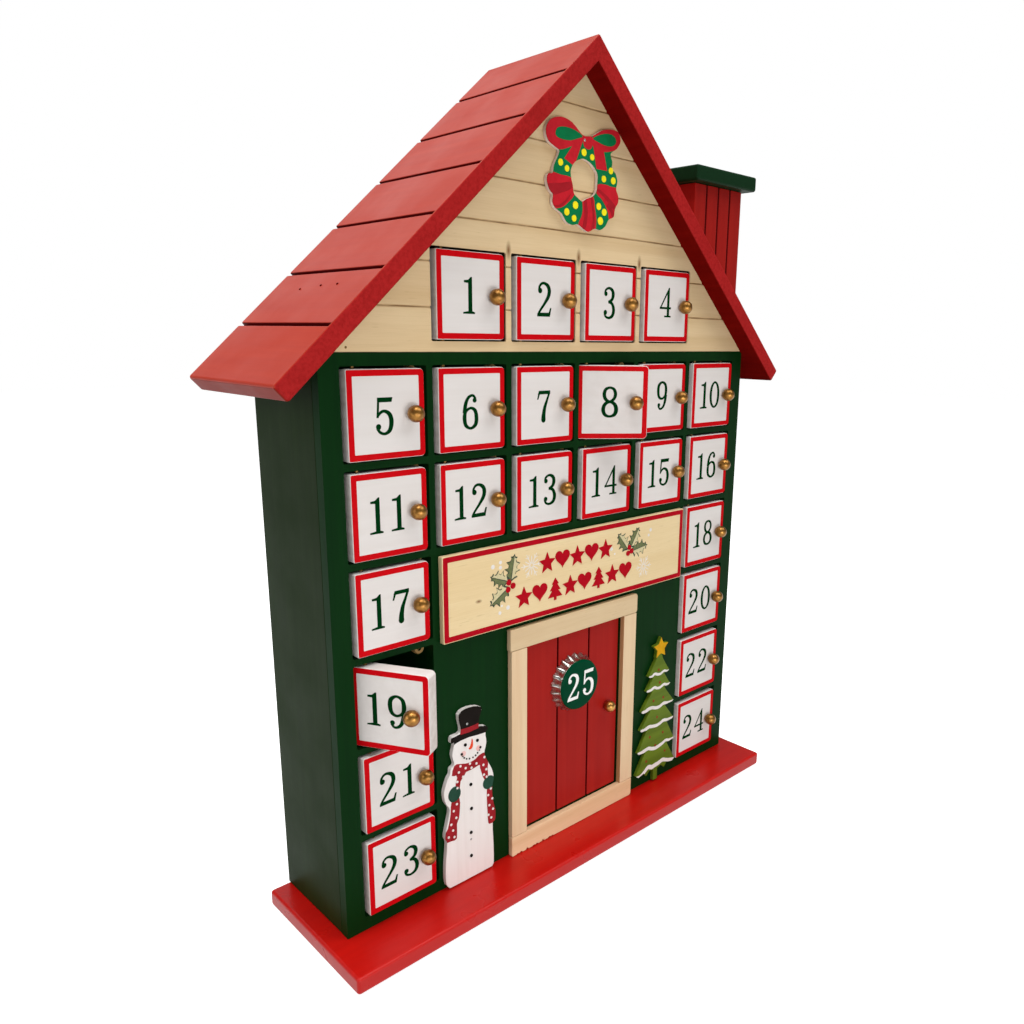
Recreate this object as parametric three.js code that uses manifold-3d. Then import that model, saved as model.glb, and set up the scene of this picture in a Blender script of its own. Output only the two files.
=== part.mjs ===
// House-shaped wooden advent calendar: a grooved gable roof with a chimney over a box of small
// compartments, each closed by a numbered door that turns on two pins, around a sign, a framed
// front door and two cut-out figures.
// Millimetres, +Z up, front towards -Y. The origin is the centre of the base board's underside.

import * as THREE from 'three';
import { mergeVertices } from 'three/addons/utils/BufferGeometryUtils.js';
import Module from 'manifold-3d';

const wasm = await Module();
wasm.setup();

// Fits

const jointGap = 0.2; // between glued faces
const pinClearance = 0.3; // round a pivot pin, on the radius

// Compartment grid

const openingCorner = 0.8;
const columns = 6;
const rows = 6; // two full rows at the top, the rest only in the outer columns
const fullRows = 2;
const cellWidth = 40.3;
const cellHeight = 38.2;
const boardThick = 3; // shelves and dividers
const sideThick = 9;
const floorThick = 6.4;
const loftFloorThick = 5.2;
const backThick = 3;
const houseDepth = 57;

// Base board

const baseThick = 8;
const porchDepth = 25; // in front of the house
const baseSideReach = 9.6;
const baseEdge = 1.2;

// Roof

const roofPitch = THREE.MathUtils.degToRad(42.9);
const roofThick = 8;
const eaveReach = 23;
const roofFrontReach = 11;
const roofBackReach = 10.6;
const eaveDrop = 1.1; // how far the roof's underside meets the wall below the box's top edge
const ridgePlank = 26.7;
const roofPlank = 32;
const roofGrooveWidth = 1.6;
const roofGrooveDepth = 1.8;
const roofGrooveStop = 1; // the grooves end short of the roof's front edge

// Front boards

const frontThick = 5;
const gableRail = 4.6; // under the loft openings
const gablePlank = 18.35;
const gableGroove = 1.3;
const gableDoors = 4;

// Chimney

const stackWidth = 43;
const stackDepth = 41.5;
const stackInset = 43; // from the eave to the stack's middle
const stackHeightAboveEave = 101.6;
const stackPlanks = 4;
const stackGroove = 2;
const capReach = 6;
const capThick = 8;

// Number doors

const doorThick = 7.2;
const doorProud = 1.8;
const doorLeftGap = 1.6;
const doorRightGap = 2.5;
const doorFootGap = 0.7;
const doorHeadGap = 1.1;
const doorHingeCorner = 0.8;
const doorFreeCorner = 2;
const pivotInset = 5;
const pinRadius = 0.9;
const pinBite = 1.1; // length of pin inside a shelf
const knobRadius = 3.6;
const knobNeckRadius = 1.7;
const knobNeck = 0.2;
const knobInset = 6.6;
const stopRadius = 2.7;
const stopDepth = 3;
const stopGap = 0.4;
const stopInset = 3.6;
const stopHeight = 5.4;
const stopBore = 1;
const ajar = { 8: 36, 19: 60 }; // degrees open as the calendar stands

// Front door and its frame

const entryCentreX = 0.9;
const entryWidth = 71.2;
const entryHeight = 102;
const entrySill = 11;
const frameThick = 3;
const frameWidth = 10;
const lintelHeight = 11;
const lintelReach = 0.6;
const mainDoorGap = 1.2;
const mainDoorFootGap = 0.6;
const mainDoorHeadGap = 0.7;
const mainDoorThick = 4.8;
const mainDoorRecess = 0.2;
const mainPivotInset = 7;
const mainPlanks = 3;
const mainGroove = 1.4;
const mainKnobRadius = 2.85;
const mainKnobInset = 8.6;
const mainKnobHeight = 62.2;

// Crown cap on the front door

const crownRadius = 16.05;
const crownTopRadius = 13.4;
const crownHeight = 6;
const crownFlutes = 21;
const crownFluteDepth = 0.9;
const crownWall = 0.6;
const crownOffsetX = -0.8;
const crownCentreZ = 83.9;

// Sign and cut-out figures

const signThick = 3;
const signMargin = 0.5;
const signTopDrop = 0.7; // below the lower shelf's underside
const signFootGap = 2.6; // above the lintel
const figureThick = 3;
const wreathThick = 2.5;
const snowmanHeight = 93;
const snowmanInset = 13.6; // from the panel's left stile to the figure's middle
const treeHeight = 93.8;
const treeInset = 16.5;
const trunkHalf = 1.9;
const wreathHeight = 47;
const wreathDrop = 49; // from the roof's inner ridge to the wreath's middle
const wreathHole = 9;

// Derived sizes

const cellPitchX = cellWidth + boardThick;
const cellPitchZ = cellHeight + boardThick;
const houseWidth = 2 * sideThick + columns * cellWidth + (columns - 1) * boardThick;
const halfWidth = houseWidth / 2;
const innerHalf = halfWidth - sideThick;
const gridTop = floorThick + rows * cellHeight + (rows - 1) * boardThick;
const boxHeight = gridTop + loftFloorThick;
const slope = Math.tan(roofPitch);
const stackCentreX = halfWidth + eaveReach - stackInset;
const ridgeInner = boxHeight - eaveDrop + slope * halfWidth;
const ridgeOuter = ridgeInner + roofThick / Math.cos(roofPitch);
const roofLength = (halfWidth + eaveReach) / Math.cos(roofPitch);
const innerFront = frontThick + jointGap;
const innerBack = houseDepth - backThick - jointGap;
const wallCorner = (ridgeInner - jointGap - boxHeight) / slope;
const lowerShelfTop = cellBottom(fullRows - 1);
const snowmanCentreX = cellLeft(1) + snowmanInset;
const treeCentreX = -cellLeft(1) - treeInset;
const wreathCentreZ = ridgeInner - wreathDrop;
const loftSill = boxHeight + gableRail;
const loftHead = loftSill + cellHeight;
const pivotY = doorThick / 2 - doorProud;
const pinHole = pinRadius + pinClearance;
const doorWidth = cellWidth - doorLeftGap - doorRightGap;
const doorHeight = cellHeight - doorFootGap - doorHeadGap;

function cellLeft(column) {
  return -innerHalf + column * cellPitchX;
}

function cellBottom(row) {
  return floorThick + (rows - 1 - row) * cellPitchZ;
}

function roofSeat(x) {
  return ridgeInner - jointGap - slope * Math.abs(x);
}

function roofTop(x) {
  return ridgeOuter + jointGap - slope * Math.abs(x);
}

// Solids

function solid(geometry) {
  const bare = geometry.clone();
  const extras = Object.keys(bare.attributes).filter((name) => name !== 'position');
  extras.forEach((name) => bare.deleteAttribute(name));
  const merged = mergeVertices(bare, 1e-4);
  return new wasm.Manifold(new wasm.Mesh({
    numProp: 3,
    vertProperties: new Float32Array(merged.attributes.position.array),
    triVerts: new Uint32Array(merged.index.array),
  }));
}

function geometryOf(body) {
  const mesh = body.getMesh();
  const geometry = new THREE.BufferGeometry();
  geometry.setAttribute('position', new THREE.BufferAttribute(new Float32Array(mesh.vertProperties), 3));
  geometry.setIndex(new THREE.BufferAttribute(new Uint32Array(mesh.triVerts), 1));
  geometry.computeVertexNormals();
  return geometry;
}

function box(x0, x1, y0, y1, z0, z1) {
  const geometry = new THREE.BoxGeometry(x1 - x0, y1 - y0, z1 - z0);
  return solid(geometry.translate((x0 + x1) / 2, (y0 + y1) / 2, (z0 + z1) / 2));
}

// An upright plate: the outline lies in X and Z, the plate runs from yFront backwards.
function plate(outline, yFront, thick, curveSegments = 4) {
  const geometry = new THREE.ExtrudeGeometry(outline, { depth: thick, bevelEnabled: false, curveSegments });
  return solid(geometry.rotateX(Math.PI / 2).translate(0, yFront + thick, 0));
}

function outlineOf(points) {
  return new THREE.Shape(points.map(([x, z]) => new THREE.Vector2(x, z)));
}

// A rectangle whose corner radii are given from the lower left, anticlockwise.
function roundedOutline(x0, x1, z0, z1, [lowerLeft, lowerRight, upperRight, upperLeft]) {
  const shape = new THREE.Shape();
  const quarter = Math.PI / 2;
  shape.absarc(x0 + lowerLeft, z0 + lowerLeft, lowerLeft, 2 * quarter, 3 * quarter);
  shape.absarc(x1 - lowerRight, z0 + lowerRight, lowerRight, 3 * quarter, 4 * quarter);
  shape.absarc(x1 - upperRight, z1 - upperRight, upperRight, 0, quarter);
  shape.absarc(x0 + upperLeft, z1 - upperLeft, upperLeft, quarter, 2 * quarter);
  return shape;
}

// V grooves cut into an upright face that looks forwards: half as deep as they are wide.
function grooveAlongX(xHalf, z, y, width) {
  const cutter = outlineOf([[-width / 2, width], [width / 2, 0], [-width / 2, -width]]);
  const geometry = new THREE.ExtrudeGeometry(cutter, { depth: 2 * xHalf, bevelEnabled: false });
  return solid(geometry.rotateZ(Math.PI / 2).rotateY(Math.PI / 2).translate(-xHalf, y, z));
}

function grooveAlongZ(x, z0, z1, y, width) {
  const cutter = outlineOf([[width, -width / 2], [0, width / 2], [-width, -width / 2]]);
  const geometry = new THREE.ExtrudeGeometry(cutter, { depth: z1 - z0, bevelEnabled: false });
  return solid(geometry.translate(x, y, z0));
}

function uprightRod(radius, x, y, z0, z1, sides = 6) {
  const geometry = new THREE.CylinderGeometry(radius, radius, z1 - z0, sides);
  return solid(geometry.rotateX(Math.PI / 2).translate(x, y, (z0 + z1) / 2));
}

function forwardRod(radius, x, z, y0, y1, sides = 10) {
  const geometry = new THREE.CylinderGeometry(radius, radius, y1 - y0, sides);
  return solid(geometry.translate(x, (y0 + y1) / 2, z));
}

function cutAll(body, cutters) {
  return cutters.reduce((rest, cutter) => rest.subtract(cutter), body);
}

function joinAll(body, others) {
  return others.reduce((whole, other) => whole.add(other), body);
}

// Finishes

const paints = {
  red: ['#b01618', 0.45],
  darkGreen: ['#123020', 0.5],
  white: ['#e4dedb', 0.5],
  birch: ['#dec89b', 0.65],
  treeGreen: ['#5f7a1a', 0.55],
};

function paint(name) {
  const [color, roughness] = paints[name];
  return new THREE.MeshStandardMaterial({ color, roughness, metalness: 0 });
}

function brass() {
  return new THREE.MeshStandardMaterial({ color: '#b98a3e', roughness: 0.25, metalness: 1 });
}

function tinplate() {
  return new THREE.MeshStandardMaterial({ color: '#b9bdbb', roughness: 0.3, metalness: 0.9 });
}

const calendar = new THREE.Group();
const house = new THREE.Group();
house.position.set(0, -(houseDepth - porchDepth) / 2, baseThick + jointGap);
calendar.add(house);

function place(parent, name, body, material) {
  const mesh = new THREE.Mesh(geometryOf(body), material);
  mesh.name = name;
  parent.add(mesh);
  return mesh;
}

// Base board, with its upper edges eased

function baseBoard() {
  const reach = halfWidth + baseSideReach - baseEdge;
  const depth = houseDepth + porchDepth;
  const shape = new THREE.Shape([
    new THREE.Vector2(-reach, -depth / 2 + baseEdge),
    new THREE.Vector2(reach, -depth / 2 + baseEdge),
    new THREE.Vector2(reach, depth / 2 - baseEdge),
    new THREE.Vector2(-reach, depth / 2 - baseEdge),
  ]);
  const geometry = new THREE.ExtrudeGeometry(shape, {
    depth: baseThick - 2 * baseEdge,
    bevelThickness: baseEdge,
    bevelSize: baseEdge,
    bevelSegments: 2,
  });
  return solid(geometry.translate(0, 0, baseEdge));
}

place(calendar, 'base_board', baseBoard(), paint('red'));

// Door stops: a short round block under the board over a compartment, behind the door's free edge

function stopBlock(column, ceiling) {
  const x = cellLeft(column) + cellWidth - stopInset;
  const z = ceiling + jointGap / 2 - stopRadius;
  const front = doorThick - doorProud + stopGap;
  const block = forwardRod(stopRadius, x, z, front, front + stopDepth);
  return block.subtract(forwardRod(stopBore, x, z, front - 1, front + stopDepth / 2, 6));
}

function pivotX(column) {
  return cellLeft(column) + doorLeftGap + pivotInset;
}

function pinHoles(columnList, z0, z1) {
  return columnList.map((column) => uprightRod(pinHole, pivotX(column), pivotY, z0, z1));
}

const everyColumn = Array.from({ length: columns }, (_, index) => index);
const outerColumns = [0, columns - 1];
const pinReach = pinBite + 0.6;

// Carcass

function sidePanel(side) {
  const inner = side * innerHalf;
  const outer = side * halfWidth;
  const corner = side * wallCorner;
  const outline = [[inner, 0], [outer, 0], [outer, roofSeat(outer)], [corner, boxHeight], [inner, boxHeight]];
  return plate(outlineOf(outline), innerFront, houseDepth - innerFront);
}

function floorBoard() {
  const half = innerHalf - jointGap;
  return box(-half, half, innerFront, innerBack, 0, floorThick);
}

function loftFloor() {
  const half = innerHalf - jointGap;
  const body = box(-half, half, innerFront, innerBack, gridTop, boxHeight);
  return joinAll(body, everyColumn.map((column) => stopBlock(column, gridTop)));
}

function backPanel() {
  const half = innerHalf - jointGap;
  const outline = [[-half, 0], [half, 0], [half, roofSeat(half)], [0, roofSeat(0)], [-half, roofSeat(half)]];
  return plate(outlineOf(outline), houseDepth - backThick, backThick);
}

place(house, 'side_panel_left', sidePanel(-1), paint('darkGreen'));
place(house, 'side_panel_right', sidePanel(1), paint('darkGreen'));
place(house, 'floor_board', floorBoard(), paint('darkGreen'));
place(house, 'loft_floor', loftFloor(), paint('darkGreen'));
place(house, 'back_panel', backPanel(), paint('darkGreen'));

// Shelves and dividers, which cross in half-lap slots

const slotDepth = (innerFront + innerBack) / 2;

function upperShelf() {
  const half = innerHalf - jointGap;
  const top = cellBottom(0);
  const body = box(-half, half, innerFront, innerBack, top - boardThick, top);
  const slots = everyColumn.slice(1).map((column) => box(
    cellLeft(column) - boardThick - jointGap,
    cellLeft(column) + jointGap,
    slotDepth - jointGap,
    houseDepth,
    top - boardThick - 1,
    top + 1,
  ));
  return joinAll(cutAll(body, slots), everyColumn.map((column) => stopBlock(column, top - boardThick)));
}

function lowerShelf() {
  const half = innerHalf - jointGap;
  const body = box(-half, half, innerFront, innerBack, lowerShelfTop - boardThick, lowerShelfTop);
  return joinAll(body, outerColumns.map((column) => stopBlock(column, lowerShelfTop - boardThick)));
}

function rowDivider(column) {
  const x1 = cellLeft(column);
  const x0 = x1 - boardThick;
  const body = box(x0, x1, innerFront, innerBack, lowerShelfTop + jointGap, gridTop - jointGap);
  const crossing = cellBottom(0);
  return body.subtract(box(
    x0 - 1,
    x1 + 1,
    0,
    slotDepth + jointGap,
    crossing - boardThick - jointGap,
    crossing + jointGap,
  ));
}

place(house, 'upper_shelf', upperShelf(), paint('darkGreen'));
place(house, 'lower_shelf', lowerShelf(), paint('darkGreen'));
for (const column of everyColumn.slice(1)) {
  place(house, `row_divider_${column}`, rowDivider(column), paint('darkGreen'));
}

// Side racks: an upright wall with shelves glued to it, one rack beside each side panel

function rack(side) {
  const column = side < 0 ? 0 : columns - 1;
  const wallX0 = side < 0 ? cellLeft(1) - boardThick : cellLeft(column) - boardThick;
  const wallX1 = wallX0 + boardThick;
  const wallTop = lowerShelfTop - boardThick - jointGap;
  const wall = box(wallX0, wallX1, innerFront, innerBack, floorThick + jointGap, wallTop);
  const shelfX0 = side < 0 ? cellLeft(0) + jointGap : wallX0 + boardThick / 2;
  const shelfX1 = side < 0 ? wallX0 + boardThick / 2 : innerHalf - jointGap;
  let body = wall;
  for (let row = fullRows; row < rows - 1; row += 1) {
    const top = cellBottom(row);
    const shelf = box(shelfX0, shelfX1, innerFront, innerBack, top - boardThick, top);
    body = joinAll(body, [shelf, stopBlock(column, top - boardThick)]);
  }
  return body;
}

place(house, 'rack_left', rack(-1), paint('darkGreen'));
place(house, 'rack_right', rack(1), paint('darkGreen'));

// Front panel: one board with an opening for every compartment below the gable and for the front door,
// its rails drilled for the pins, and a stop glued behind the front door's free edge

const entryLeft = entryCentreX - entryWidth / 2;
const entryRight = entryCentreX + entryWidth / 2;
const entryTop = entrySill + entryHeight;
const mainPivotX = entryLeft + mainDoorGap + mainPivotInset;
const mainPivotY = mainDoorRecess + mainDoorThick / 2;
const mainFoot = entrySill + mainDoorFootGap;
const mainHead = entryTop - mainDoorHeadGap;
const mainFrontRight = entryRight - mainDoorGap;

function cellOpening(column, z) {
  const corners = [openingCorner, openingCorner, openingCorner, openingCorner];
  const outline = roundedOutline(cellLeft(column), cellLeft(column) + cellWidth, z, z + cellHeight, corners);
  return plate(outline, -1, frontThick + 2, 2);
}

function mainDoorStop() {
  const front = mainDoorRecess + mainDoorThick + stopGap;
  const z = entryTop - 2 * stopHeight;
  const back = front + stopDepth;
  const post = box(entryRight + 0.5, entryRight + stopInset, frontThick / 2, back, z, z + stopHeight);
  const arm = box(entryRight - stopInset, entryRight + stopInset, front, back, z, z + stopHeight);
  return post.add(arm);
}

function frontPanel() {
  const corner = roofSeat(halfWidth);
  const outline = [
    [-halfWidth, 0],
    [halfWidth, 0],
    [halfWidth, corner],
    [wallCorner, boxHeight],
    [-wallCorner, boxHeight],
    [-halfWidth, corner],
  ];
  const cutters = [box(entryLeft, entryRight, -1, frontThick + 1, entrySill, entryTop)];
  for (let row = 0; row < rows; row += 1) {
    const columnList = row < fullRows ? everyColumn : outerColumns;
    const foot = cellBottom(row);
    cutters.push(...columnList.map((column) => cellOpening(column, foot)));
    cutters.push(...pinHoles(columnList, foot - pinReach, foot + 1));
    cutters.push(...pinHoles(columnList, foot + cellHeight - 1, foot + cellHeight + pinReach));
  }
  cutters.push(uprightRod(pinHole, mainPivotX, mainPivotY, entrySill - pinReach, entrySill + 1));
  cutters.push(uprightRod(pinHole, mainPivotX, mainPivotY, entryTop - 1, entryTop + pinReach));
  return cutAll(plate(outlineOf(outline), 0, frontThick), cutters).add(mainDoorStop());
}

place(house, 'front_panel', frontPanel(), paint('darkGreen'));

// Loft: three dividers under a ceiling whose ends turn down as the outer walls

const firstLoftColumn = (columns - gableDoors) / 2;
const loftColumns = Array.from({ length: gableDoors }, (_, index) => firstLoftColumn + index);

// The triangle that the roof leaves above the loft floor
function gableOutline() {
  const foot = boxHeight + jointGap;
  const corner = (ridgeInner - jointGap - foot) / slope;
  return outlineOf([[-corner, foot], [corner, foot], [0, roofSeat(0)]]);
}

function loftCeiling() {
  const left = cellLeft(firstLoftColumn) - boardThick;
  const right = cellLeft(firstLoftColumn + gableDoors);
  const bottom = boxHeight + jointGap;
  const underside = loftHead + jointGap;
  const cover = box(left, right, innerFront, innerBack, underside, underside + boardThick);
  const leftWall = box(left, left + boardThick, innerFront, innerBack, bottom, underside + 1);
  const rightWall = box(right - boardThick, right, innerFront, innerBack, bottom, underside + 1);
  const body = joinAll(cover, [leftWall, rightWall]).intersect(plate(gableOutline(), 0, houseDepth));
  return joinAll(body, loftColumns.map((column) => stopBlock(column, underside)));
}

place(house, 'loft_ceiling', loftCeiling(), paint('darkGreen'));
for (const column of loftColumns.slice(1)) {
  const x1 = cellLeft(column);
  const body = box(x1 - boardThick, x1, innerFront, innerBack, boxHeight + jointGap, loftHead);
  place(house, `loft_divider_${column - firstLoftColumn}`, body, paint('darkGreen'));
}

// Gable board: planks marked by grooves, four openings, and bores for the doors' pins

function gableBoard() {
  let body = plate(gableOutline(), 0, frontThick);
  for (let z = boxHeight + gablePlank; z < ridgeInner - gablePlank / 2; z += gablePlank) {
    body = body.subtract(grooveAlongX(halfWidth, z, 0, gableGroove));
  }
  return cutAll(body, [
    ...loftColumns.map((column) => cellOpening(column, loftSill)),
    ...pinHoles(loftColumns, loftSill - pinReach, loftSill + 1),
    ...pinHoles(loftColumns, loftHead - 1, loftHead + pinReach),
  ]);
}

place(house, 'gable_board', gableBoard(), paint('birch'));

// Roof: two grooved boards that meet upright at the ridge, their eaves cut square

function roofPanel(side) {
  const cos = Math.cos(roofPitch);
  const sin = Math.sin(roofPitch);
  const along = (s, depth) => [side * (cos * s - sin * depth), ridgeOuter - sin * s - cos * depth];
  const ridgeX = side * jointGap / 2;
  const outline = [
    [ridgeX, ridgeOuter - slope * jointGap / 2],
    along(roofLength, 0),
    along(roofLength, roofThick),
    [ridgeX, ridgeInner - slope * jointGap / 2],
  ];
  const depth = houseDepth + roofFrontReach + roofBackReach;
  const body = plate(outlineOf(outline), -roofFrontReach, depth);
  const grooves = [];
  for (let s = ridgePlank; s < roofLength - roofPlank / 2; s += roofPlank) {
    const half = roofGrooveWidth / 2;
    const cutter = [
      along(s - half, -1),
      along(s + half, -1),
      along(s + half, roofGrooveDepth),
      along(s - half, roofGrooveDepth),
    ];
    grooves.push(plate(outlineOf(cutter), roofGrooveStop - roofFrontReach, depth));
  }
  return cutAll(body, grooves);
}

place(house, 'roof_panel_left', roofPanel(-1), paint('red'));
place(house, 'roof_panel_right', roofPanel(1), paint('red'));

// Chimney: a planked stack sawn to the roof's slope, under an overhanging cap

const roofMidY = (houseDepth + roofBackReach - roofFrontReach) / 2;
const stackTop = roofTop(halfWidth + eaveReach) + stackHeightAboveEave;

function chimneyStack() {
  const x0 = stackCentreX - stackWidth / 2;
  const x1 = stackCentreX + stackWidth / 2;
  const front = roofMidY - stackDepth / 2;
  const outline = [[x0, roofTop(x0)], [x1, roofTop(x1)], [x1, stackTop], [x0, stackTop]];
  const body = plate(outlineOf(outline), front, stackDepth);
  const grooves = [];
  for (let plank = 1; plank < stackPlanks; plank += 1) {
    const x = x0 + (plank * stackWidth) / stackPlanks;
    grooves.push(grooveAlongZ(x, roofTop(x1) - 1, stackTop + 1, front, stackGroove));
  }
  return cutAll(body, grooves);
}

function chimneyCap() {
  const width = stackWidth + 2 * capReach;
  const depth = stackDepth + 2 * capReach;
  const geometry = new THREE.BoxGeometry(width, depth, capThick);
  return solid(geometry.translate(stackCentreX, roofMidY, stackTop + jointGap + capThick / 2));
}

place(house, 'chimney_stack', chimneyStack(), paint('red'));
place(house, 'chimney_cap', chimneyCap(), paint('darkGreen'));

// Number doors: a block with rounded free corners, a ball knob and two pivot pins, turning about its pins

function ballKnob(radius, neckRadius, neck, faceY, x, z) {
  const profile = [[0, 1], [neckRadius, 1], [neckRadius, -neck]];
  const start = Math.asin(neckRadius / radius);
  const steps = 5;
  for (let step = 1; step <= steps; step += 1) {
    const angle = start + ((Math.PI - start) * step) / steps;
    profile.push([radius * Math.sin(angle), -neck - radius * (Math.cos(start) - Math.cos(angle))]);
  }
  profile[profile.length - 1][0] = 0;
  const points = profile.reverse().map(([r, y]) => new THREE.Vector2(r, y));
  return solid(new THREE.LatheGeometry(points, 9).translate(x, faceY, z));
}

function numberDoor(footGap, headGap) {
  const x0 = -pivotInset;
  const x1 = doorWidth - pivotInset;
  const corners = [doorHingeCorner, doorFreeCorner, doorFreeCorner, doorHingeCorner];
  const outline = roundedOutline(x0, x1, footGap, footGap + doorHeight, corners);
  const slab = plate(outline, -doorThick / 2, doorThick, 2);
  const middle = footGap + doorHeight / 2;
  const head = footGap + doorHeight;
  const knob = ballKnob(knobRadius, knobNeckRadius, knobNeck, -doorThick / 2, x1 - knobInset, middle);
  const lowerPin = uprightRod(pinRadius, 0, 0, -pinBite, footGap + 1);
  const upperPin = uprightRod(pinRadius, 0, 0, head - 1, head + headGap + pinBite);
  return joinAll(slab, [knob, lowerPin, upperPin]);
}

function hangDoor(number, column, z) {
  const hinge = new THREE.Group();
  hinge.position.set(pivotX(column), pivotY, z);
  hinge.rotation.z = -THREE.MathUtils.degToRad(ajar[number] ?? 0);
  house.add(hinge);
  const name = `number_door_${String(number).padStart(2, '0')}`;
  place(hinge, name, numberDoor(doorFootGap, doorHeadGap), paint('white'));
}

let number = 0;
for (const column of loftColumns) {
  number += 1;
  hangDoor(number, column, loftSill);
}
for (let row = 0; row < rows; row += 1) {
  for (const column of row < fullRows ? everyColumn : outerColumns) {
    number += 1;
    hangDoor(number, column, cellBottom(row));
  }
}

// Front door of three planks, its frame, knob and crown cap

function mainDoor() {
  const x0 = -mainPivotInset;
  const x1 = mainFrontRight - mainPivotX;
  const front = -mainDoorThick / 2;
  const slab = box(x0, x1, front, -front, mainFoot, mainHead);
  const grooves = [];
  for (let plank = 1; plank < mainPlanks; plank += 1) {
    const x = x0 + (plank * (x1 - x0)) / mainPlanks;
    grooves.push(grooveAlongZ(x, mainFoot - 1, mainHead + 1, front, mainGroove));
  }
  return joinAll(cutAll(slab, grooves), [
    uprightRod(pinRadius, 0, 0, entrySill - pinBite, mainFoot + 1),
    uprightRod(pinRadius, 0, 0, mainHead - 1, entryTop + pinBite),
  ]);
}

function mainDoorKnob() {
  const x = mainFrontRight - mainPivotX - mainKnobInset;
  const face = -mainDoorThick / 2 - jointGap;
  const ball = ballKnob(mainKnobRadius, knobNeckRadius, knobNeck, face, x, mainKnobHeight);
  return ball.subtract(forwardRod(knobRadius, x, mainKnobHeight, face, face + knobRadius));
}

// The cap is a drawn shell: a flat top, a rounded shoulder and a skirt that opens into flutes.
function crownCap() {
  const steps = crownFlutes * 4;
  const shoulder = crownRadius - crownTopRadius;
  const outer = [
    [crownTopRadius * 0.85, 0, 0],
    [crownTopRadius, 0.35, 0],
    [crownTopRadius + shoulder * 0.35, crownHeight * 0.3, 0.15],
    [crownTopRadius + shoulder * 0.65, crownHeight * 0.65, 0.6],
    [crownRadius - crownFluteDepth / 2, crownHeight, 1],
  ];
  const inner = outer.map(([radius, depth, flute]) => [
    radius - crownWall,
    Math.min(depth + crownWall, crownHeight),
    flute,
  ]);
  const rings = [...outer, ...inner.reverse()];
  const positions = [];
  for (const [radius, depth, flute] of rings) {
    for (let step = 0; step < steps; step += 1) {
      const angle = (2 * Math.PI * step) / steps;
      const r = radius + (flute * crownFluteDepth / 2) * Math.cos(crownFlutes * angle);
      positions.push(r * Math.cos(angle), depth, r * Math.sin(angle));
    }
  }
  const topCentre = positions.length / 3;
  positions.push(0, 0, 0);
  const innerCentre = topCentre + 1;
  positions.push(0, crownWall, 0);
  const index = [];
  for (let step = 0; step < steps; step += 1) {
    const next = (step + 1) % steps;
    index.push(topCentre, step, next);
    for (let ring = 0; ring < rings.length - 1; ring += 1) {
      const a = ring * steps + step;
      const b = ring * steps + next;
      index.push(a, a + steps, b, b, a + steps, b + steps);
    }
    const last = (rings.length - 1) * steps;
    index.push(innerCentre, last + next, last + step);
  }
  const geometry = new THREE.BufferGeometry();
  geometry.setAttribute('position', new THREE.Float32BufferAttribute(positions, 3));
  geometry.setIndex(index);
  const face = -mainDoorThick / 2 - jointGap - crownHeight;
  return solid(geometry.translate(entryCentreX + crownOffsetX - mainPivotX, face, crownCentreZ));
}

const mainHinge = new THREE.Group();
mainHinge.position.set(mainPivotX, mainPivotY, 0);
house.add(mainHinge);
place(mainHinge, 'main_door', mainDoor(), paint('red'));
place(mainHinge, 'main_door_knob', mainDoorKnob(), brass());
place(mainHinge, 'crown_cap', crownCap(), tinplate());

const frameFront = -frameThick - jointGap;
const jambOuterLeft = entryLeft - frameWidth;
const jambOuterRight = entryRight + frameWidth;
const lintelRound = 1.5;
const lintel = roundedOutline(
  jambOuterLeft - lintelReach,
  jambOuterRight + lintelReach,
  entryTop,
  entryTop + lintelHeight,
  [0.6, lintelRound, lintelRound, 0.6],
);
place(house, 'door_lintel', plate(lintel, frameFront, frameThick, 3), paint('birch'));
function doorJamb(x0, x1) {
  return box(x0, x1, frameFront, -jointGap, entrySill + jointGap, entryTop - jointGap);
}

place(house, 'door_jamb_left', doorJamb(jambOuterLeft, entryLeft), paint('birch'));
place(house, 'door_jamb_right', doorJamb(entryRight, jambOuterRight), paint('birch'));
const sill = roundedOutline(jambOuterLeft, jambOuterRight, 0, entrySill, [0.6, lintelRound, 0.6, 0.6]);
place(house, 'door_sill', plate(sill, frameFront, frameThick, 3), paint('birch'));

// Sign board

const signHalf = -cellLeft(1) - signMargin;
const signTop = lowerShelfTop - boardThick - signTopDrop;
const signFoot = entryTop + lintelHeight + signFootGap;
const signBody = box(-signHalf, signHalf, -signThick - jointGap, -jointGap, signFoot, signTop);
place(house, 'sign_board', signBody, paint('birch'));

// Cut-out figures. Their outlines are given from the figure's middle and its foot.

function smoothOutline(points, stepsPerPoint = 2) {
  const knots = points.map(([x, z]) => new THREE.Vector3(x, z, 0));
  const curve = new THREE.CatmullRomCurve3(knots, true, 'centripetal');
  const places = curve.getPoints(points.length * stepsPerPoint).slice(0, -1);
  return outlineOf(places.map((place) => [place.x, place.y]));
}

// Sets an outline to a height, with its middle at x and its foot, or whatever it was drawn from, at z.
function heightOf(points) {
  const heights = points.map((point) => point[1]);
  return Math.max(...heights) - Math.min(...heights);
}

function sized(points, height, x, z) {
  const scale = height / heightOf(points);
  return points.map(([px, pz]) => [px * scale + x, pz * scale + z]);
}

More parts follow.
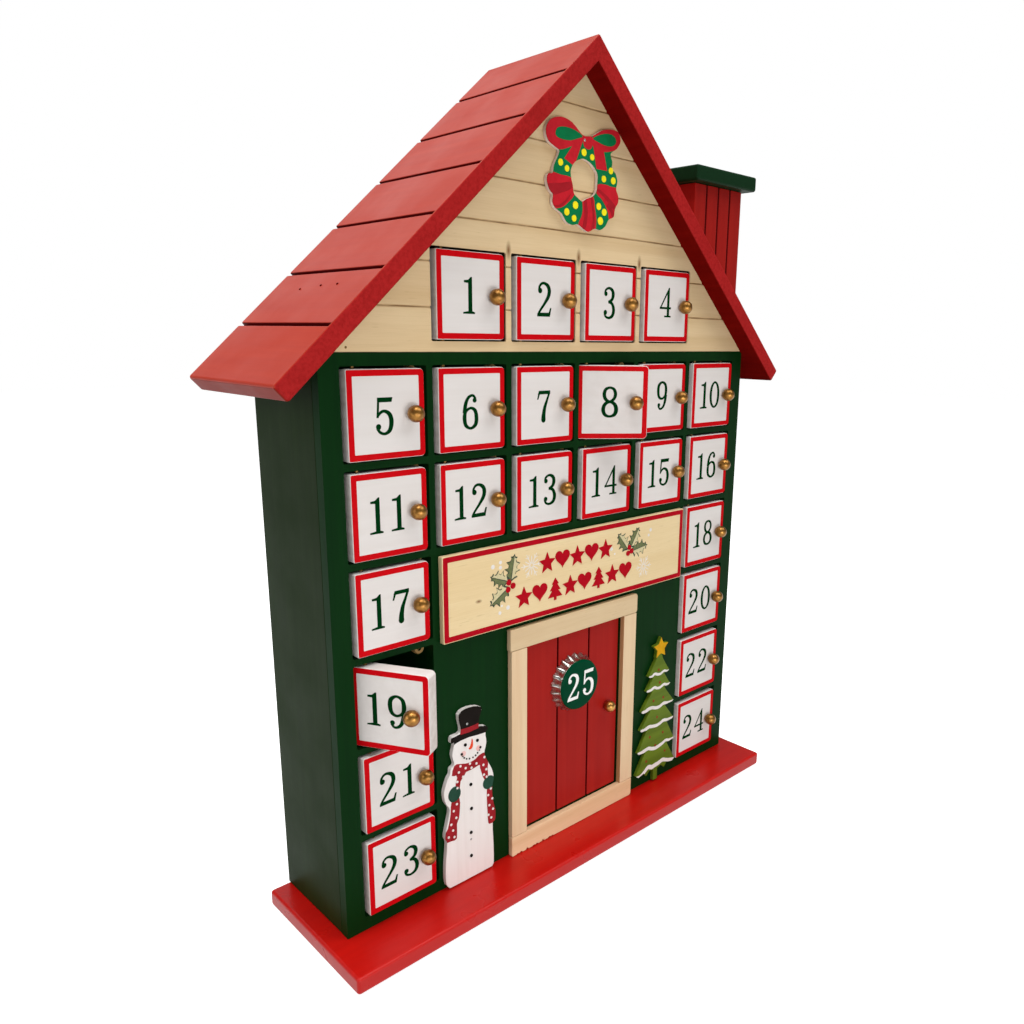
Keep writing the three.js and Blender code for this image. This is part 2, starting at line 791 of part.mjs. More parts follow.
const snowmanOutline = [
  [-6.6, 90.9],
  [-0.5, 93.2],
  [7.2, 90.8],
  [6.3, 85.5],
  [5.6, 80.9],
  [9.6, 80.2],
  [11.2, 78.2],
  [9.6, 76.3],
  [10.3, 69.8],
  [9, 64.6],
  [10.6, 60.3],
  [13.2, 55.4],
  [14.6, 50.2],
  [13.6, 45],
  [13.9, 38],
  [15.5, 31],
  [15.2, 26],
  [13.8, 24.6],
  [14.2, 13],
  [14.3, 3],
  [13.2, 1],
  [11.4, 0.6],
  [-10.8, 0.6],
  [-13, 1.2],
  [-14.8, 4],
  [-15, 13],
  [-13.9, 25.2],
  [-15, 28.6],
  [-13.8, 34.6],
  [-12, 42.4],
  [-14.3, 47],
  [-15, 52.5],
  [-12.9, 58.4],
  [-11.3, 60.7],
  [-10.9, 63.4],
  [-8.8, 65],
  [-9.9, 70],
  [-8.6, 75.9],
  [-10.7, 77],
  [-10.3, 80.4],
  [-4.9, 80.9],
];

const treeTiers = [
  { tip: 9.4, z: 70.6, waist: 4.9, waistZ: 69.2 },
  { tip: 10.6, z: 61.3, waist: 5.4, waistZ: 60 },
  { tip: 14.5, z: 49.3, waist: 6.6, waistZ: 48.2 },
  { tip: 15.1, z: 37.4, waist: 9, waistZ: 36.2 },
  { tip: 16.8, z: 24, waist: 9.8, waistZ: 22.4 },
];

function treeOutline() {
  const side = [[1.4, 84.6], [3.2, 79.5]];
  for (const { tip, z, waist, waistZ } of treeTiers) {
    side.push([tip - 1.6, z + 1.8], [tip, z], [tip - 1.2, z - 0.9], [waist, waistZ]);
  }
  side.push([16.2, 11.4], [17.6, 9], [15.4, 7.4], [10.5, 8.6], [8.2, 5.8], [5.4, 8.4]);
  side.push([trunkHalf, 7.6], [trunkHalf, 0.8]);
  const mirrored = side.map(([x, z]) => [-x, z]).reverse();
  return [...side, ...mirrored];
}

// The star's points, then the boughs, as one outline round the tree's middle
const starCentre = [0.8, 86.9];
const starRadius = 6.9;

function starOutline() {
  const points = [];
  for (let step = 0; step < 10; step += 1) {
    const angle = Math.PI / 2 - (step * Math.PI) / 5;
    const r = step % 2 === 0 ? starRadius : starRadius / 2;
    points.push([starCentre[0] + r * Math.cos(angle), starCentre[1] + r * Math.sin(angle)]);
  }
  return points;
}

const wreathOutline = [
  [-1.5, 19.8],
  [-8, 24],
  [-15, 25.2],
  [-21.5, 23],
  [-24.2, 18.5],
  [-22.6, 14.2],
  [-18, 12.1],
  [-15.8, 10.6],
  [-19, 4.5],
  [-19.8, 1.2],
  [-22.6, 0.4],
  [-23.4, -2.4],
  [-21.9, -6],
  [-19.6, -8],
  [-19.9, -11.2],
  [-18, -13.6],
  [-13.8, -15.6],
  [-10.8, -19],
  [-7, -19.9],
  [-3.6, -19.3],
  [0.2, -21],
  [3.6, -22],
  [7.6, -20.2],
  [11.4, -20.5],
  [15, -18.4],
  [17.2, -15.2],
  [20.6, -13.6],
  [21.4, -9.8],
  [23.5, -6.9],
  [23.5, -3.8],
  [21.9, -0.9],
  [22.7, 2.6],
  [21.3, 6.2],
  [18.7, 7.9],
  [18.9, 11],
  [17.6, 14.6],
  [21.6, 17.2],
  [24.2, 21],
  [22.6, 24.6],
  [18.6, 25.2],
  [12, 24],
  [6.4, 21],
  [3.4, 20],
];

function snowman() {
  const outline = smoothOutline(sized(snowmanOutline, snowmanHeight, snowmanCentreX, 0));
  return plate(outline, -figureThick - jointGap, figureThick);
}

place(house, 'snowman', snowman(), paint('white'));

function tree() {
  const front = -figureThick - jointGap;
  const boughs = treeOutline();
  const share = (points) => treeHeight * (heightOf(points) / heightOf([...boughs, ...starOutline()]));
  const body = plate(outlineOf(sized(boughs, share(boughs), treeCentreX, 0)), front, figureThick);
  const star = starOutline();
  return body.add(plate(outlineOf(sized(star, share(star), treeCentreX, 0)), front, figureThick));
}

place(house, 'tree', tree(), paint('treeGreen'));

function wreath() {
  const front = -wreathThick - jointGap;
  const body = plate(smoothOutline(sized(wreathOutline, wreathHeight, 0, wreathCentreZ)), front, wreathThick);
  return body.subtract(forwardRod(wreathHole, 0.5, wreathCentreZ, front - 1, 1, 20));
}

place(house, 'wreath', wreath(), paint('darkGreen'));

export default calendar;
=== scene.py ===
"""A house-shaped wooden advent calendar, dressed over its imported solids.

Sizes are in millimetres in the house's own frame: x to the right from the middle of the front,
y backwards from the face of the front panel, z up from the top of the base board. Meshes are
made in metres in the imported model's frame, where the origin is under the base board.
"""

import logging
import math
from dataclasses import dataclass, field
from enum import Enum
from typing import Callable, Iterable, Sequence

import bpy
from mathutils import Matrix, Vector


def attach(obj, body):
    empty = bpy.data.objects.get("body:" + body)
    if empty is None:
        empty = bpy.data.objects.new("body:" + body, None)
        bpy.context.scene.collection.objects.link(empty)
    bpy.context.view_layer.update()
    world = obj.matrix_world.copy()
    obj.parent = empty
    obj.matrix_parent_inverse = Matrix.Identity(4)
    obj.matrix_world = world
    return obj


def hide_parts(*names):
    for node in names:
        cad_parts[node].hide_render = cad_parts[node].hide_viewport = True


LOG = logging.getLogger("calendar")

MM = 0.001
HOUSE_Y = -16.0
HOUSE_Z = 8.2

MERGE = 2e-6
CLOSE_MERGE = 1e-7
WHITE = (1.0, 1.0, 1.0, 1.0)
FLAT_BEND = 0.5
ROOF_BEND = 30.0
SMOOTH_BEND = 40.0
TURNED_BEND = 38.0
SAWN_BEND = 50.0
HOUSE = "house"

Point = tuple[float, float]
Points = Sequence[Point]
Place = tuple[float, float, float]
Stroke = tuple[Place, ...]
Piece = bpy.types.Object
Socket = bpy.types.NodeSocket


def spot(x: float, y: float, z: float) -> Vector:
    """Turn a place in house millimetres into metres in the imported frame.

    Args:
        x: Distance to the right of the middle.
        y: Distance behind the front panel's face.
        z: Height above the base board's top.

    Returns:
        The same place in metres.
    """
    return Vector((x * MM, (y + HOUSE_Y) * MM, (z + HOUSE_Z) * MM))


TO_ORIGIN = Matrix.Translation(-spot(0, 0, 0))


def tint(code: str) -> tuple[float, float, float, float]:
    """Turn a screen colour into the linear colour that a shader reads.

    Args:
        code: Six hexadecimal digits.

    Returns:
        Red, green, blue and a full alpha.
    """
    parts = [int(code[i : i + 2], 16) / 255 for i in (0, 2, 4)]
    linear = [c / 12.92 if c <= 0.04045 else ((c + 0.055) / 1.055) ** 2.4 for c in parts]
    return (linear[0], linear[1], linear[2], 1.0)


class Slot(Enum):
    """The record's material slots."""

    RED = "red_paint"
    GREEN = "green_paint"
    WHITE = "white_paint"
    LEAF = "leaf_paint"
    BARE = "bare_wood"
    BRASS = "brass"
    TIN = "tinplate"


class Grain(Enum):
    """The axis that a board's grain runs along."""

    X = 0
    Y = 1
    Z = 2


# Materials


class Recipe:
    """A material's node tree while it is put together."""

    def __init__(self, name: str) -> None:
        """Start a material with a principled shader.

        Args:
            name: The material's name.
        """
        self.material = bpy.data.materials.new(name)
        self.material.use_nodes = True
        self.tree = self.material.node_tree
        self.tree.nodes.clear()
        self.shader = self.node("ShaderNodeBsdfPrincipled")
        output = self.node("ShaderNodeOutputMaterial")
        self.join(self.shader.outputs["BSDF"], output.inputs["Surface"])
        self.place = self.node("ShaderNodeTexCoord").outputs["Object"]

    def node(self, kind: str, **settings: object) -> bpy.types.Node:
        """Add a node.

        Args:
            kind: The node's type.
            **settings: Attributes to set on it.

        Returns:
            The node.
        """
        made = self.tree.nodes.new(kind)
        for key, value in settings.items():
            setattr(made, key, value)
        return made

    def join(self, source: Socket, target: Socket) -> None:
        """Link two sockets."""
        self.tree.links.new(source, target)

    def feed(self, node: bpy.types.Node, **inputs: Socket | float | Sequence[float]) -> None:
        """Link or set a node's inputs.

        Args:
            node: The node.
            **inputs: A socket or a constant for each input, named with underscores for spaces.
        """
        for key, value in inputs.items():
            target = node.inputs[key.replace("_", " ")]
            if isinstance(value, Socket):
                self.join(value, target)
            else:
                target.default_value = value

    def scaled(self, scale: Sequence[float], shift: Sequence[float] = (0, 0, 0)) -> Socket:
        """Stretch the object's coordinates.

        Args:
            scale: A factor for each axis.
            shift: An offset for each axis, after the scale.

        Returns:
            The vector socket.
        """
        mapping = self.node("ShaderNodeMapping")
        self.feed(mapping, Vector=self.place, Scale=scale, Location=shift)
        return mapping.outputs["Vector"]

    def noise(
        self,
        vector: Socket,
        scale: float = 1.0,
        detail: float = 3.0,
        roughness: float = 0.55,
        warp: float = 0.0,
    ) -> Socket:
        """Add a noise texture.

        Args:
            vector: The coordinates.
            scale: The noise's scale.
            detail: Its number of octaves.
            roughness: How strong the finer octaves are.
            warp: How far it is distorted.

        Returns:
            The factor socket.
        """
        texture = self.node("ShaderNodeTexNoise")
        self.feed(texture, Vector=vector, Scale=scale, Detail=detail, Roughness=roughness, Distortion=warp)
        return texture.outputs["Fac"]

    def levels(
        self, factor: Socket, low: float, high: float, to_low: float = 0.0, to_high: float = 1.0
    ) -> Socket:
        """Stretch a factor's range, clamped.

        Args:
            factor: The factor.
            low: The value that becomes to_low.
            high: The value that becomes to_high.
            to_low: The new low end.
            to_high: The new high end.

        Returns:
            The stretched factor.
        """
        made = self.node("ShaderNodeMapRange")
        self.feed(made, Value=factor, From_Min=low, From_Max=high, To_Min=to_low, To_Max=to_high)
        return made.outputs["Result"]

    def mix(
        self,
        factor: Socket | float,
        first: Socket | Sequence[float],
        second: Socket | Sequence[float],
    ) -> Socket:
        """Mix two colours.

        Args:
            factor: The share of the second.
            first: The first colour.
            second: The second colour.

        Returns:
            The mixed colour.
        """
        made = self.node("ShaderNodeMix", data_type="RGBA")
        for socket, value in ((made.inputs[0], factor), (made.inputs[6], first), (made.inputs[7], second)):
            if isinstance(value, Socket):
                self.join(value, socket)
            else:
                socket.default_value = value
        return made.outputs[2]

    def sum(self, first: Socket, second: Socket, share: float) -> Socket:
        """Add a share of a second height to a first."""
        return self.math("MULTIPLY_ADD", second, share, first)

    def axis(self, index: int) -> Socket:
        """One of the object's coordinates."""
        made = self.node("ShaderNodeSeparateXYZ")
        self.join(self.place, made.inputs[0])
        return made.outputs[index]

    def math(self, operation: str, first: Socket, *values: Socket | float) -> Socket:
        """Do a sum on a value.

        Args:
            operation: The sum.
            first: The value.
            *values: What the sum needs besides it.

        Returns:
            The result.
        """
        made = self.node("ShaderNodeMath", operation=operation)
        self.join(first, made.inputs[0])
        for socket, value in zip(list(made.inputs)[1:], values):
            if isinstance(value, Socket):
                self.join(value, socket)
            else:
                socket.default_value = value
        return made.outputs[0]

    def coat(self, tone: Socket, roughness: Socket) -> None:
        """Give the shader its colour and its roughness."""
        self.set(Base_Color=tone, Roughness=roughness)

    def bump(self, height: Socket, strength: float, depth: float) -> None:
        """Give the surface a relief.

        Args:
            height: The height between 0 and 1.
            strength: The bump's strength.
            depth: The relief's depth in millimetres.
        """
        made = self.node("ShaderNodeBump")
        self.feed(made, Height=height, Strength=strength, Distance=depth * MM)
        self.set(Normal=made.outputs["Normal"])

    def set(self, **values: Socket | float | Sequence[float]) -> None:
        """Link or set the shader's own inputs, named with underscores for spaces."""
        self.feed(self.shader, **values)


def along(grain: Grain, length: float, across: float) -> Place:
    """Scale factors that stretch a texture along a board's grain.

    Args:
        grain: The grain's axis.
        length: The frequency along it, per metre.
        across: The frequency across it, per metre.

    Returns:
        A factor for each axis.
    """
    scale = [across, across, across]
    scale[grain.value] = length
    return (scale[0], scale[1], scale[2])


@dataclass(frozen=True)
class PaintedWood:
    """Satin paint brushed over wood, with the grain just showing in its surface."""

    name: str
    colour: str
    shade: str
    grain: Grain = Grain.X
    roughness: float = 0.42
    relief: float = 0.05
    gloss: float = 0.12

    def make(self) -> bpy.types.Material:
        """Build the material."""
        recipe = Recipe(self.name)
        streaks = recipe.noise(recipe.scaled(along(self.grain, 9, 260)), detail=4, roughness=0.6)
        clouds = recipe.noise(recipe.place, scale=38, detail=3)
        tone = recipe.mix(recipe.levels(streaks, 0.35, 0.7), tint(self.colour), tint(self.shade))
        tone = recipe.mix(recipe.levels(clouds, 0.4, 0.75, 0, 0.45), tone, tint(self.shade))
        fibres = recipe.noise(recipe.scaled(along(self.grain, 40, 1500)), detail=4, roughness=0.65)
        peel = recipe.noise(recipe.place, scale=900, detail=2)
        recipe.coat(tone, recipe.levels(clouds, 0.3, 0.7, self.roughness - 0.05, self.roughness + 0.07))
        recipe.bump(recipe.sum(recipe.sum(fibres, peel, 0.55), streaks, 0.8), 0.35, self.relief)
        recipe.set(Specular_IOR_Level=self.gloss)
        return recipe.material


FIBRE_TONE = "b39565"
PORE_TONE = "9a7748"
SCORCH_TONE = "74481f"
JOINT_TONE = "8c6a42"
# The near-black brown of the painted shadow on faces set back from the front.
PAINTED_SHADOW_TONE = "2b1d10"


@dataclass(frozen=True)
class BareWood:
    """Pale sawn wood with fine fibres, faint growth bands and short dark pores."""

    name: str
    colour: str = "e3cfa3"
    shade: str = "cdb282"
    grain: Grain = Grain.X
    scorch: tuple[tuple[float, float, float, float], ...] = ()
    joints: tuple[float, float] | None = None
    shadow_behind: float | None = None
    roughness: float = 0.62

    def make(self) -> bpy.types.Material:
        """Build the material."""
        recipe = Recipe(self.name)
        bands = recipe.noise(recipe.scaled(along(self.grain, 5, 95)), detail=3, roughness=0.5, warp=0.6)
        fibres = recipe.noise(recipe.scaled(along(self.grain, 55, 2400)), detail=4, roughness=0.7)
        pores = recipe.noise(recipe.scaled(along(self.grain, 130, 1700), (7, 3, 1)), detail=1)
        clouds = recipe.noise(recipe.place, scale=16, detail=3)
        tone = recipe.mix(recipe.levels(bands, 0.38, 0.68), tint(self.colour), tint(self.shade))
        tone = recipe.mix(recipe.levels(clouds, 0.45, 0.8, 0, 0.5), tone, tint(self.shade))
        tone = recipe.mix(recipe.levels(fibres, 0.45, 0.75, 0, 0.16), tone, tint(FIBRE_TONE))
        tone = recipe.mix(recipe.levels(pores, 0.7, 0.78, 0, 0.18), tone, tint(PORE_TONE))
        for mark in self.scorch:
            tone = recipe.mix(self.burn(recipe, *mark), tone, tint(SCORCH_TONE))
        if self.joints:
            tone = recipe.mix(self.joint_stain(recipe, *self.joints), tone, tint(JOINT_TONE))
        # Painted shadow: faces set back more than shadow_behind millimetres from the front face, such as the
        # sides of the openings, turn near-black brown.
        if self.shadow_behind is not None:
            start, end = (spot(0, self.shadow_behind + depth, 0).y for depth in (0, 0.5))
            behind = recipe.levels(recipe.axis(1), start, end)
            tone = recipe.mix(behind, tone, tint(PAINTED_SHADOW_TONE))
        recipe.coat(tone, recipe.levels(fibres, 0.3, 0.7, self.roughness - 0.06, self.roughness + 0.08))
        recipe.bump(recipe.sum(fibres, bands, 0.5), 0.4, 0.05)
        recipe.set(Specular_IOR_Level=0.2)
        return recipe.material

    def joint_stain(self, recipe: Recipe, first: float, pitch: float) -> Socket:
        """Darken thin level lines where planks meet.

        Args:
            recipe: The material's node tree.
            first: The height of one joint.
            pitch: The distance from joint to joint.

        Returns:
            A factor, one on the joints.
        """
        origin = spot(0, 0, first).z / (pitch * MM)
        height = recipe.math("MULTIPLY_ADD", recipe.axis(2), 1 / (pitch * MM), 0.5 - origin)
        wander = recipe.noise(recipe.scaled((90, 90, 90)), detail=3)
        centred = recipe.math("SUBTRACT", recipe.math("FRACT", height), 0.5)
        away = recipe.math("ABSOLUTE", centred)
        line = recipe.levels(away, 0.010, 0.026, 1, 0)
        return recipe.math("MULTIPLY", line, recipe.levels(wander, 0.3, 0.62, 0.3, 0.9))

    def burn(self, recipe: Recipe, x: float, z: float, wide: float, high: float) -> Socket:
        """Place a soft scorch mark on the front face.

        Args:
            recipe: The material's node tree.
            x: The mark's middle.
            z: Its height.
            wide: Half its width.
            high: Half its height.

        Returns:
            A factor, strongest in the middle.
        """
        centre = spot(x, 0, z)
        scale = (1 / (wide * MM), 0.0, 1 / (high * MM))
        vector = recipe.scaled(scale, (-centre.x * scale[0], 0, -centre.z * scale[2]))
        sphere = recipe.node("ShaderNodeTexGradient", gradient_type="SPHERICAL")
        recipe.join(vector, sphere.inputs["Vector"])
        return recipe.levels(sphere.outputs["Fac"], 0, 0.9, 0, 0.92)


@dataclass(frozen=True)
class PrintedPaint:
    """Matt printed or brushed colour with a slight mottle."""

    name: str
    colour: str
    shade: str
    roughness: float = 0.55
    relief: float = 0.02
    mottle: float = 300.0
    gloss: float = 0.12

    def make(self) -> bpy.types.Material:
        """Build the material."""
        recipe = Recipe(self.name)
        cloud = recipe.noise(recipe.place, scale=self.mottle, detail=3)
        broad = recipe.noise(recipe.place, scale=60, detail=2)
        tone = recipe.mix(recipe.levels(cloud, 0.4, 0.7, 0, 0.7), tint(self.colour), tint(self.shade))
        tone = recipe.mix(recipe.levels(broad, 0.4, 0.8, 0, 0.4), tone, tint(self.shade))
        fine = recipe.noise(recipe.place, scale=1800, detail=3)
        recipe.coat(tone, recipe.levels(cloud, 0.3, 0.7, self.roughness - 0.05, self.roughness + 0.05))
        recipe.bump(recipe.sum(fine, cloud, 0.6), 0.3, self.relief)
        recipe.set(Specular_IOR_Level=self.gloss)
        return recipe.material


@dataclass(frozen=True)
class Metal:
    """A turned or drawn metal with light handling marks."""

    name: str
    colour: str
    shade: str
    roughness: float = 0.28
    relief: float = 0.01
    coat: float = 0.0

    def make(self) -> bpy.types.Material:
        """Build the material."""
        recipe = Recipe(self.name)
        tarnish = recipe.noise(recipe.place, scale=420, detail=4, roughness=0.65)
        tone = recipe.mix(recipe.levels(tarnish, 0.4, 0.72), tint(self.colour), tint(self.shade))
        recipe.coat(tone, recipe.levels(tarnish, 0.3, 0.7, self.roughness - 0.05, self.roughness + 0.12))
        recipe.bump(recipe.noise(recipe.place, scale=2600, detail=2), 0.25, self.relief)
        recipe.set(Metallic=1.0, Coat_Weight=self.coat, Coat_Roughness=0.25)
        return recipe.material


RED_BOARD = PaintedWood("red_board", "be120b", "b50f0a", Grain.X, roughness=0.3, gloss=0.26)
# The roof boards' red paint; its more orange tone is partly a painted sheen for the slopes.
RED_ROOF_PAINTED_SHEEN = PaintedWood("red_roof_painted_sheen", "b0331c", "a82d1a", Grain.Y, gloss=0.22)
RED_END = PrintedPaint("red_end", "ab2020", "901413", roughness=0.55, relief=0.25, mottle=800, gloss=0.06)
# Painted shade: a darker red for the undersides of the roof boards.
RED_UNDER_PAINTED_SHADE = PaintedWood("red_under_painted_shade", "780e09", "6a0a07", Grain.Y, gloss=0.0)
# Painted shade: a darker red for the downward faces of the eave ends.
RED_EAVE_PAINTED_SHADE = PaintedWood("red_eave_painted_shade", "8a2010", "7f1c0e", Grain.Y, gloss=0.09)
RED_SEAM = PaintedWood("red_seam", "5a0809", "4a0606", Grain.Y, gloss=0.02)
RED_UPRIGHT = PaintedWood("red_upright", "a4201a", "991b17", Grain.Z, roughness=0.36, gloss=0.06)
GREEN_BOARD = PaintedWood("green_board", "062d0c", "05270b", Grain.Z, roughness=0.4, gloss=0.04)
# Painted sheen: the side panels' green is warmer than the front's, standing in for a warm reflection.
GREEN_SIDE_PAINTED_SHEEN = PaintedWood("green_side_painted_sheen", "1c2d11", "18280e", Grain.Z, roughness=0.4, gloss=0.035)
GREEN_CAP = PaintedWood("green_cap", "0c2f16", "0a2812", Grain.X, roughness=0.45, gloss=0.08)
WHITE_DOOR = PaintedWood("white_door", "e3ddd9", "ded7d2", Grain.X, roughness=0.55, relief=0.05, gloss=0.15)
WHITE_SAWN = PaintedWood("white_sawn", "e2dad5", "cabfb8", Grain.Y, roughness=0.65, relief=0.4, gloss=0.1)
SCORCHES = tuple((x, 299.6, 1.7, 4.6) for x in (-43.3, 0.0, 43.3))
GABLE_JOINTS = (255.8, 18.35)
SIGN_KNOT = (-64.5, 143.0, 2.2, 1.1)
GABLE_WOOD = BareWood(
    "gable_wood", "e2c79c", "d6b78a", scorch=SCORCHES, joints=GABLE_JOINTS, shadow_behind=0.5
)
SIGN_WOOD = BareWood("sign_wood", "ecd4a6", "e5ca99", scorch=(SIGN_KNOT,))
FRAME_WOOD = BareWood("frame_wood", "ebcca4", "dfba8f")
LINTEL_WOOD = BareWood("lintel_wood", "dcc39c", "ccad85")
UPRIGHT_WOOD = BareWood("upright_wood", "e8cda7", "dcba93", grain=Grain.Z)
# Painted shade: a darker brown wood for the right jamb's side in the door's reveal.
REVEAL_PAINTED_SHADE = BareWood("reveal_painted_shade", "c39a6c", "a98054", grain=Grain.Z)
PEG_WOOD = BareWood("peg_wood", "b08a5a", "94703f", grain=Grain.Y)
BORDER_RED = PrintedPaint("border_red", "cb0410", "bd030d", gloss=0.05)
SIGN_RED = PrintedPaint("sign_red", "b3081c", "a30618", gloss=0.05)
NUMERAL_GREEN = PrintedPaint("numeral_green", "003210", "002b0d", roughness=0.6, gloss=0.01)
AGED_BRASS = Metal("aged_brass", "9f7030", "714a18", roughness=0.33, coat=0.3)
BRASS = Metal("brass", "c08f48", "8c5f2a", roughness=0.3, coat=0.3)
BRONZE = Metal("bronze", "7d6038", "5f4526", roughness=0.45)
STEEL = Metal("pin_steel", "a9a9a6", "8a8a88", roughness=0.35)
TINPLATE = Metal("tinplate", "c8c8c4", "b0b2ae", roughness=0.2)


Finish = PaintedWood | BareWood | PrintedPaint | Metal
Rule = Callable[[Vector, Vector], bool]


class Workshop:
    """Finds finishes by name and makes each material once."""

    made: dict[str, bpy.types.Material] = {}
    seam_reach = 150.0
    seam_skin = 0.3
    seam_slack = 0.1
    shallow_seam = 1.5

    @classmethod
    def add(cls, obj: Piece, finish: Finish) -> None:
        """Add a finish to an object's list."""
        if finish.name not in cls.made:
            cls.made[finish.name] = finish.make()
        obj.data.materials.append(cls.made[finish.name])

    @classmethod
    def finish(cls, obj: Piece, finish: Finish) -> Piece:
        """Dress an object in one finish.

        Args:
            obj: The object.
            finish: Its finish.

        Returns:
            The object.
        """
        obj.data.materials.clear()
        cls.add(obj, finish)
        return obj

    @classmethod
    def also(cls, obj: Piece, finish: Finish, where: Rule) -> Piece:
        """Give some faces of an object a further finish.

        Args:
            obj: The object.
            finish: The further finish.
            where: Says which faces, from their normals and middles.

        Returns:
            The object.
        """
        cls.add(obj, finish)
        for polygon in obj.data.polygons:
            if where(polygon.normal, polygon.center):
                polygon.material_index = len(obj.data.materials) - 1
        return obj

    @classmethod
    def seams(cls, obj: Piece, outward: Vector, depth: float) -> Piece:
        """Darken the paint in the joints between planks.

        Args:
            obj: The planked board.
            outward: The way its planked face looks.
            depth: The depth of the joints in millimetres.

        Returns:
            The board.
        """
        face = max(outward.dot(vertex.co) for vertex in obj.data.vertices)

        def in_joint(normal: Vector, middle: Vector) -> bool:
            """Whether a face lies in a joint and isn't the board's front or the rounding of its eave."""
            sunk = cls.seam_skin * MM < face - outward.dot(middle) < (depth + cls.seam_slack) * MM
            inside = abs(normal.y) < 0.7 or depth < cls.shallow_seam
            return sunk and inside and abs(middle.x) < cls.seam_reach * MM

        return cls.also(obj, RED_SEAM, in_joint)


# Modelling


class Bench:
    """The modelling operators, used on one object at a time."""

    @staticmethod
    def pick(*objects: Piece) -> None:
        """Select these objects alone and make the first one active."""
        bpy.ops.object.select_all(action="DESELECT")
        for obj in objects:
            obj.select_set(True)
        bpy.context.view_layer.objects.active = objects[0]

    @staticmethod
    def edit(obj: Piece, mode: str = "FACE") -> None:
        """Enter edit mode with nothing selected.

        Args:
            obj: The object.
            mode: What is selected there: VERT, EDGE or FACE.
        """
        Bench.pick(obj)
        bpy.ops.object.mode_set(mode="EDIT")
        bpy.ops.mesh.select_mode(type=mode)
        bpy.ops.mesh.select_all(action="DESELECT")

    @staticmethod
    def leave() -> None:
        """Go back to object mode."""
        bpy.ops.object.mode_set(mode="OBJECT")

    @staticmethod
    def close(merge: float = 0.0) -> None:
        """Turn every face of the mesh being edited outwards and go back to object mode.

        Args:
            merge: The distance in metres within which vertices merge before that.
        """
        bpy.ops.mesh.select_all(action="SELECT")
        if merge:
            bpy.ops.mesh.remove_doubles(threshold=merge)
        bpy.ops.mesh.normals_make_consistent(inside=False)
        Bench.leave()

    @staticmethod
    def raised(obj: Piece, move: Place, merge: float = 0.0) -> Piece:
        """Raise a flat mesh into a solid.

        Args:
            obj: The flat mesh.
            move: How far it is raised along each axis, in millimetres.
            merge: The distance in metres within which its vertices merge before that.

        Returns:
            The object.
        """
        Bench.edit(obj)
        bpy.ops.mesh.select_all(action="SELECT")
        if merge:
            bpy.ops.mesh.remove_doubles(threshold=merge)
        bpy.ops.mesh.extrude_region_move(TRANSFORM_OT_translate={"value": tuple(way * MM for way in move)})
        Bench.close()
        return obj

    @staticmethod
    def ring(name: str, places: Sequence[Vector], fill: str = "NGON") -> Piece:
        """Add a ring of vertices.

        Args:
            name: Its name.
            places: Their places in metres.
            fill: NGON for a face inside the ring, NOTHING for a bare one.

        Returns:
            The object.
        """
        bpy.ops.object.select_all(action="DESELECT")
        bpy.ops.mesh.primitive_circle_add(vertices=len(places), radius=1, fill_type=fill)
        obj = Bench.named(name)
        for vertex, place in zip(obj.data.vertices, places):
            vertex.co = place
        return obj

    @staticmethod
    def shade(obj: Piece, angle: float) -> Piece:
        """Shade an object smooth across its edges under an angle in degrees."""
        Bench.pick(obj)
        bpy.ops.object.shade_smooth_by_angle(angle=math.radians(angle))
        return obj

    @staticmethod
    def named(name: str) -> Piece:
        """Name the object just added and its mesh."""
        obj = bpy.context.object
        obj.name = name
        obj.data.name = name
        return obj

    @staticmethod
    def settle(obj: Piece) -> Piece:
        """Put the object's place into its mesh."""
        Bench.pick(obj)
        bpy.ops.object.transform_apply(location=True, rotation=True, scale=True)
        return obj

    @staticmethod
    def block(name: str, low: Sequence[float], high: Sequence[float]) -> Piece:
        """Add a cuboid between two corners.

        Args:
            name: Its name.
            low: The lowest corner in house millimetres.
            high: The highest corner.

        Returns:
            The object.
        """
        bpy.ops.object.select_all(action="DESELECT")
        first, last = spot(*low), spot(*high)
        bpy.ops.mesh.primitive_cube_add(size=1, location=(first + last) / 2)
        obj = Bench.named(name)
        obj.scale = last - first
        return Bench.settle(obj)

    @staticmethod
    def plate(name: str, outline: Points, front: float, back: float) -> Piece:
        """Raise an upright plate from an outline.

        Args:
            name: Its name.
            outline: Places in x and z, in house millimetres.
            front: The y of its front face.
            back: The y of its back face.

        Returns:
            The object.
        """
        flat = Bench.ring(name, [spot(x, back, z) for x, z in outline])
        return Bench.raised(flat, (0, front - back, 0))

    @staticmethod
    def ribbon(
        name: str, sides: Sequence[tuple[Point, Point]], front: float, back: float, loop: bool = False
    ) -> Piece:
        """Raise an upright band between two edges.

        Args:
            name: Its name.
            sides: Pairs of places across the band, along its length.
            front: The y of its front face.
            back: The y of its back face.
            loop: Whether the band closes on itself.

        Returns:
            The object.
        """
        bpy.ops.object.select_all(action="DESELECT")
        bpy.ops.mesh.primitive_grid_add(x_subdivisions=len(sides) - 1, y_subdivisions=1, size=2)
        obj = Bench.named(name)
        count = len(sides)
        for index, (left, right) in enumerate(sides):
            obj.data.vertices[index].co = spot(left[0], back, left[1])
            obj.data.vertices[index + count].co = spot(right[0], back, right[1])
        return Bench.raised(obj, (0, front - back, 0), CLOSE_MERGE if loop else 0.0)

    @staticmethod
    def apply(obj: Piece, kind: str, **settings: object) -> Piece:
        """Add a modifier and apply it.

        Args:
            obj: The object.
            kind: The modifier's type.
            **settings: Attributes to set on it.

        Returns:
            The object.
        """
        Bench.pick(obj)
        modifier = obj.modifiers.new(kind.lower(), kind)
        for key, value in settings.items():
            setattr(modifier, key, value)
        bpy.ops.object.modifier_apply(modifier=modifier.name)
        return obj

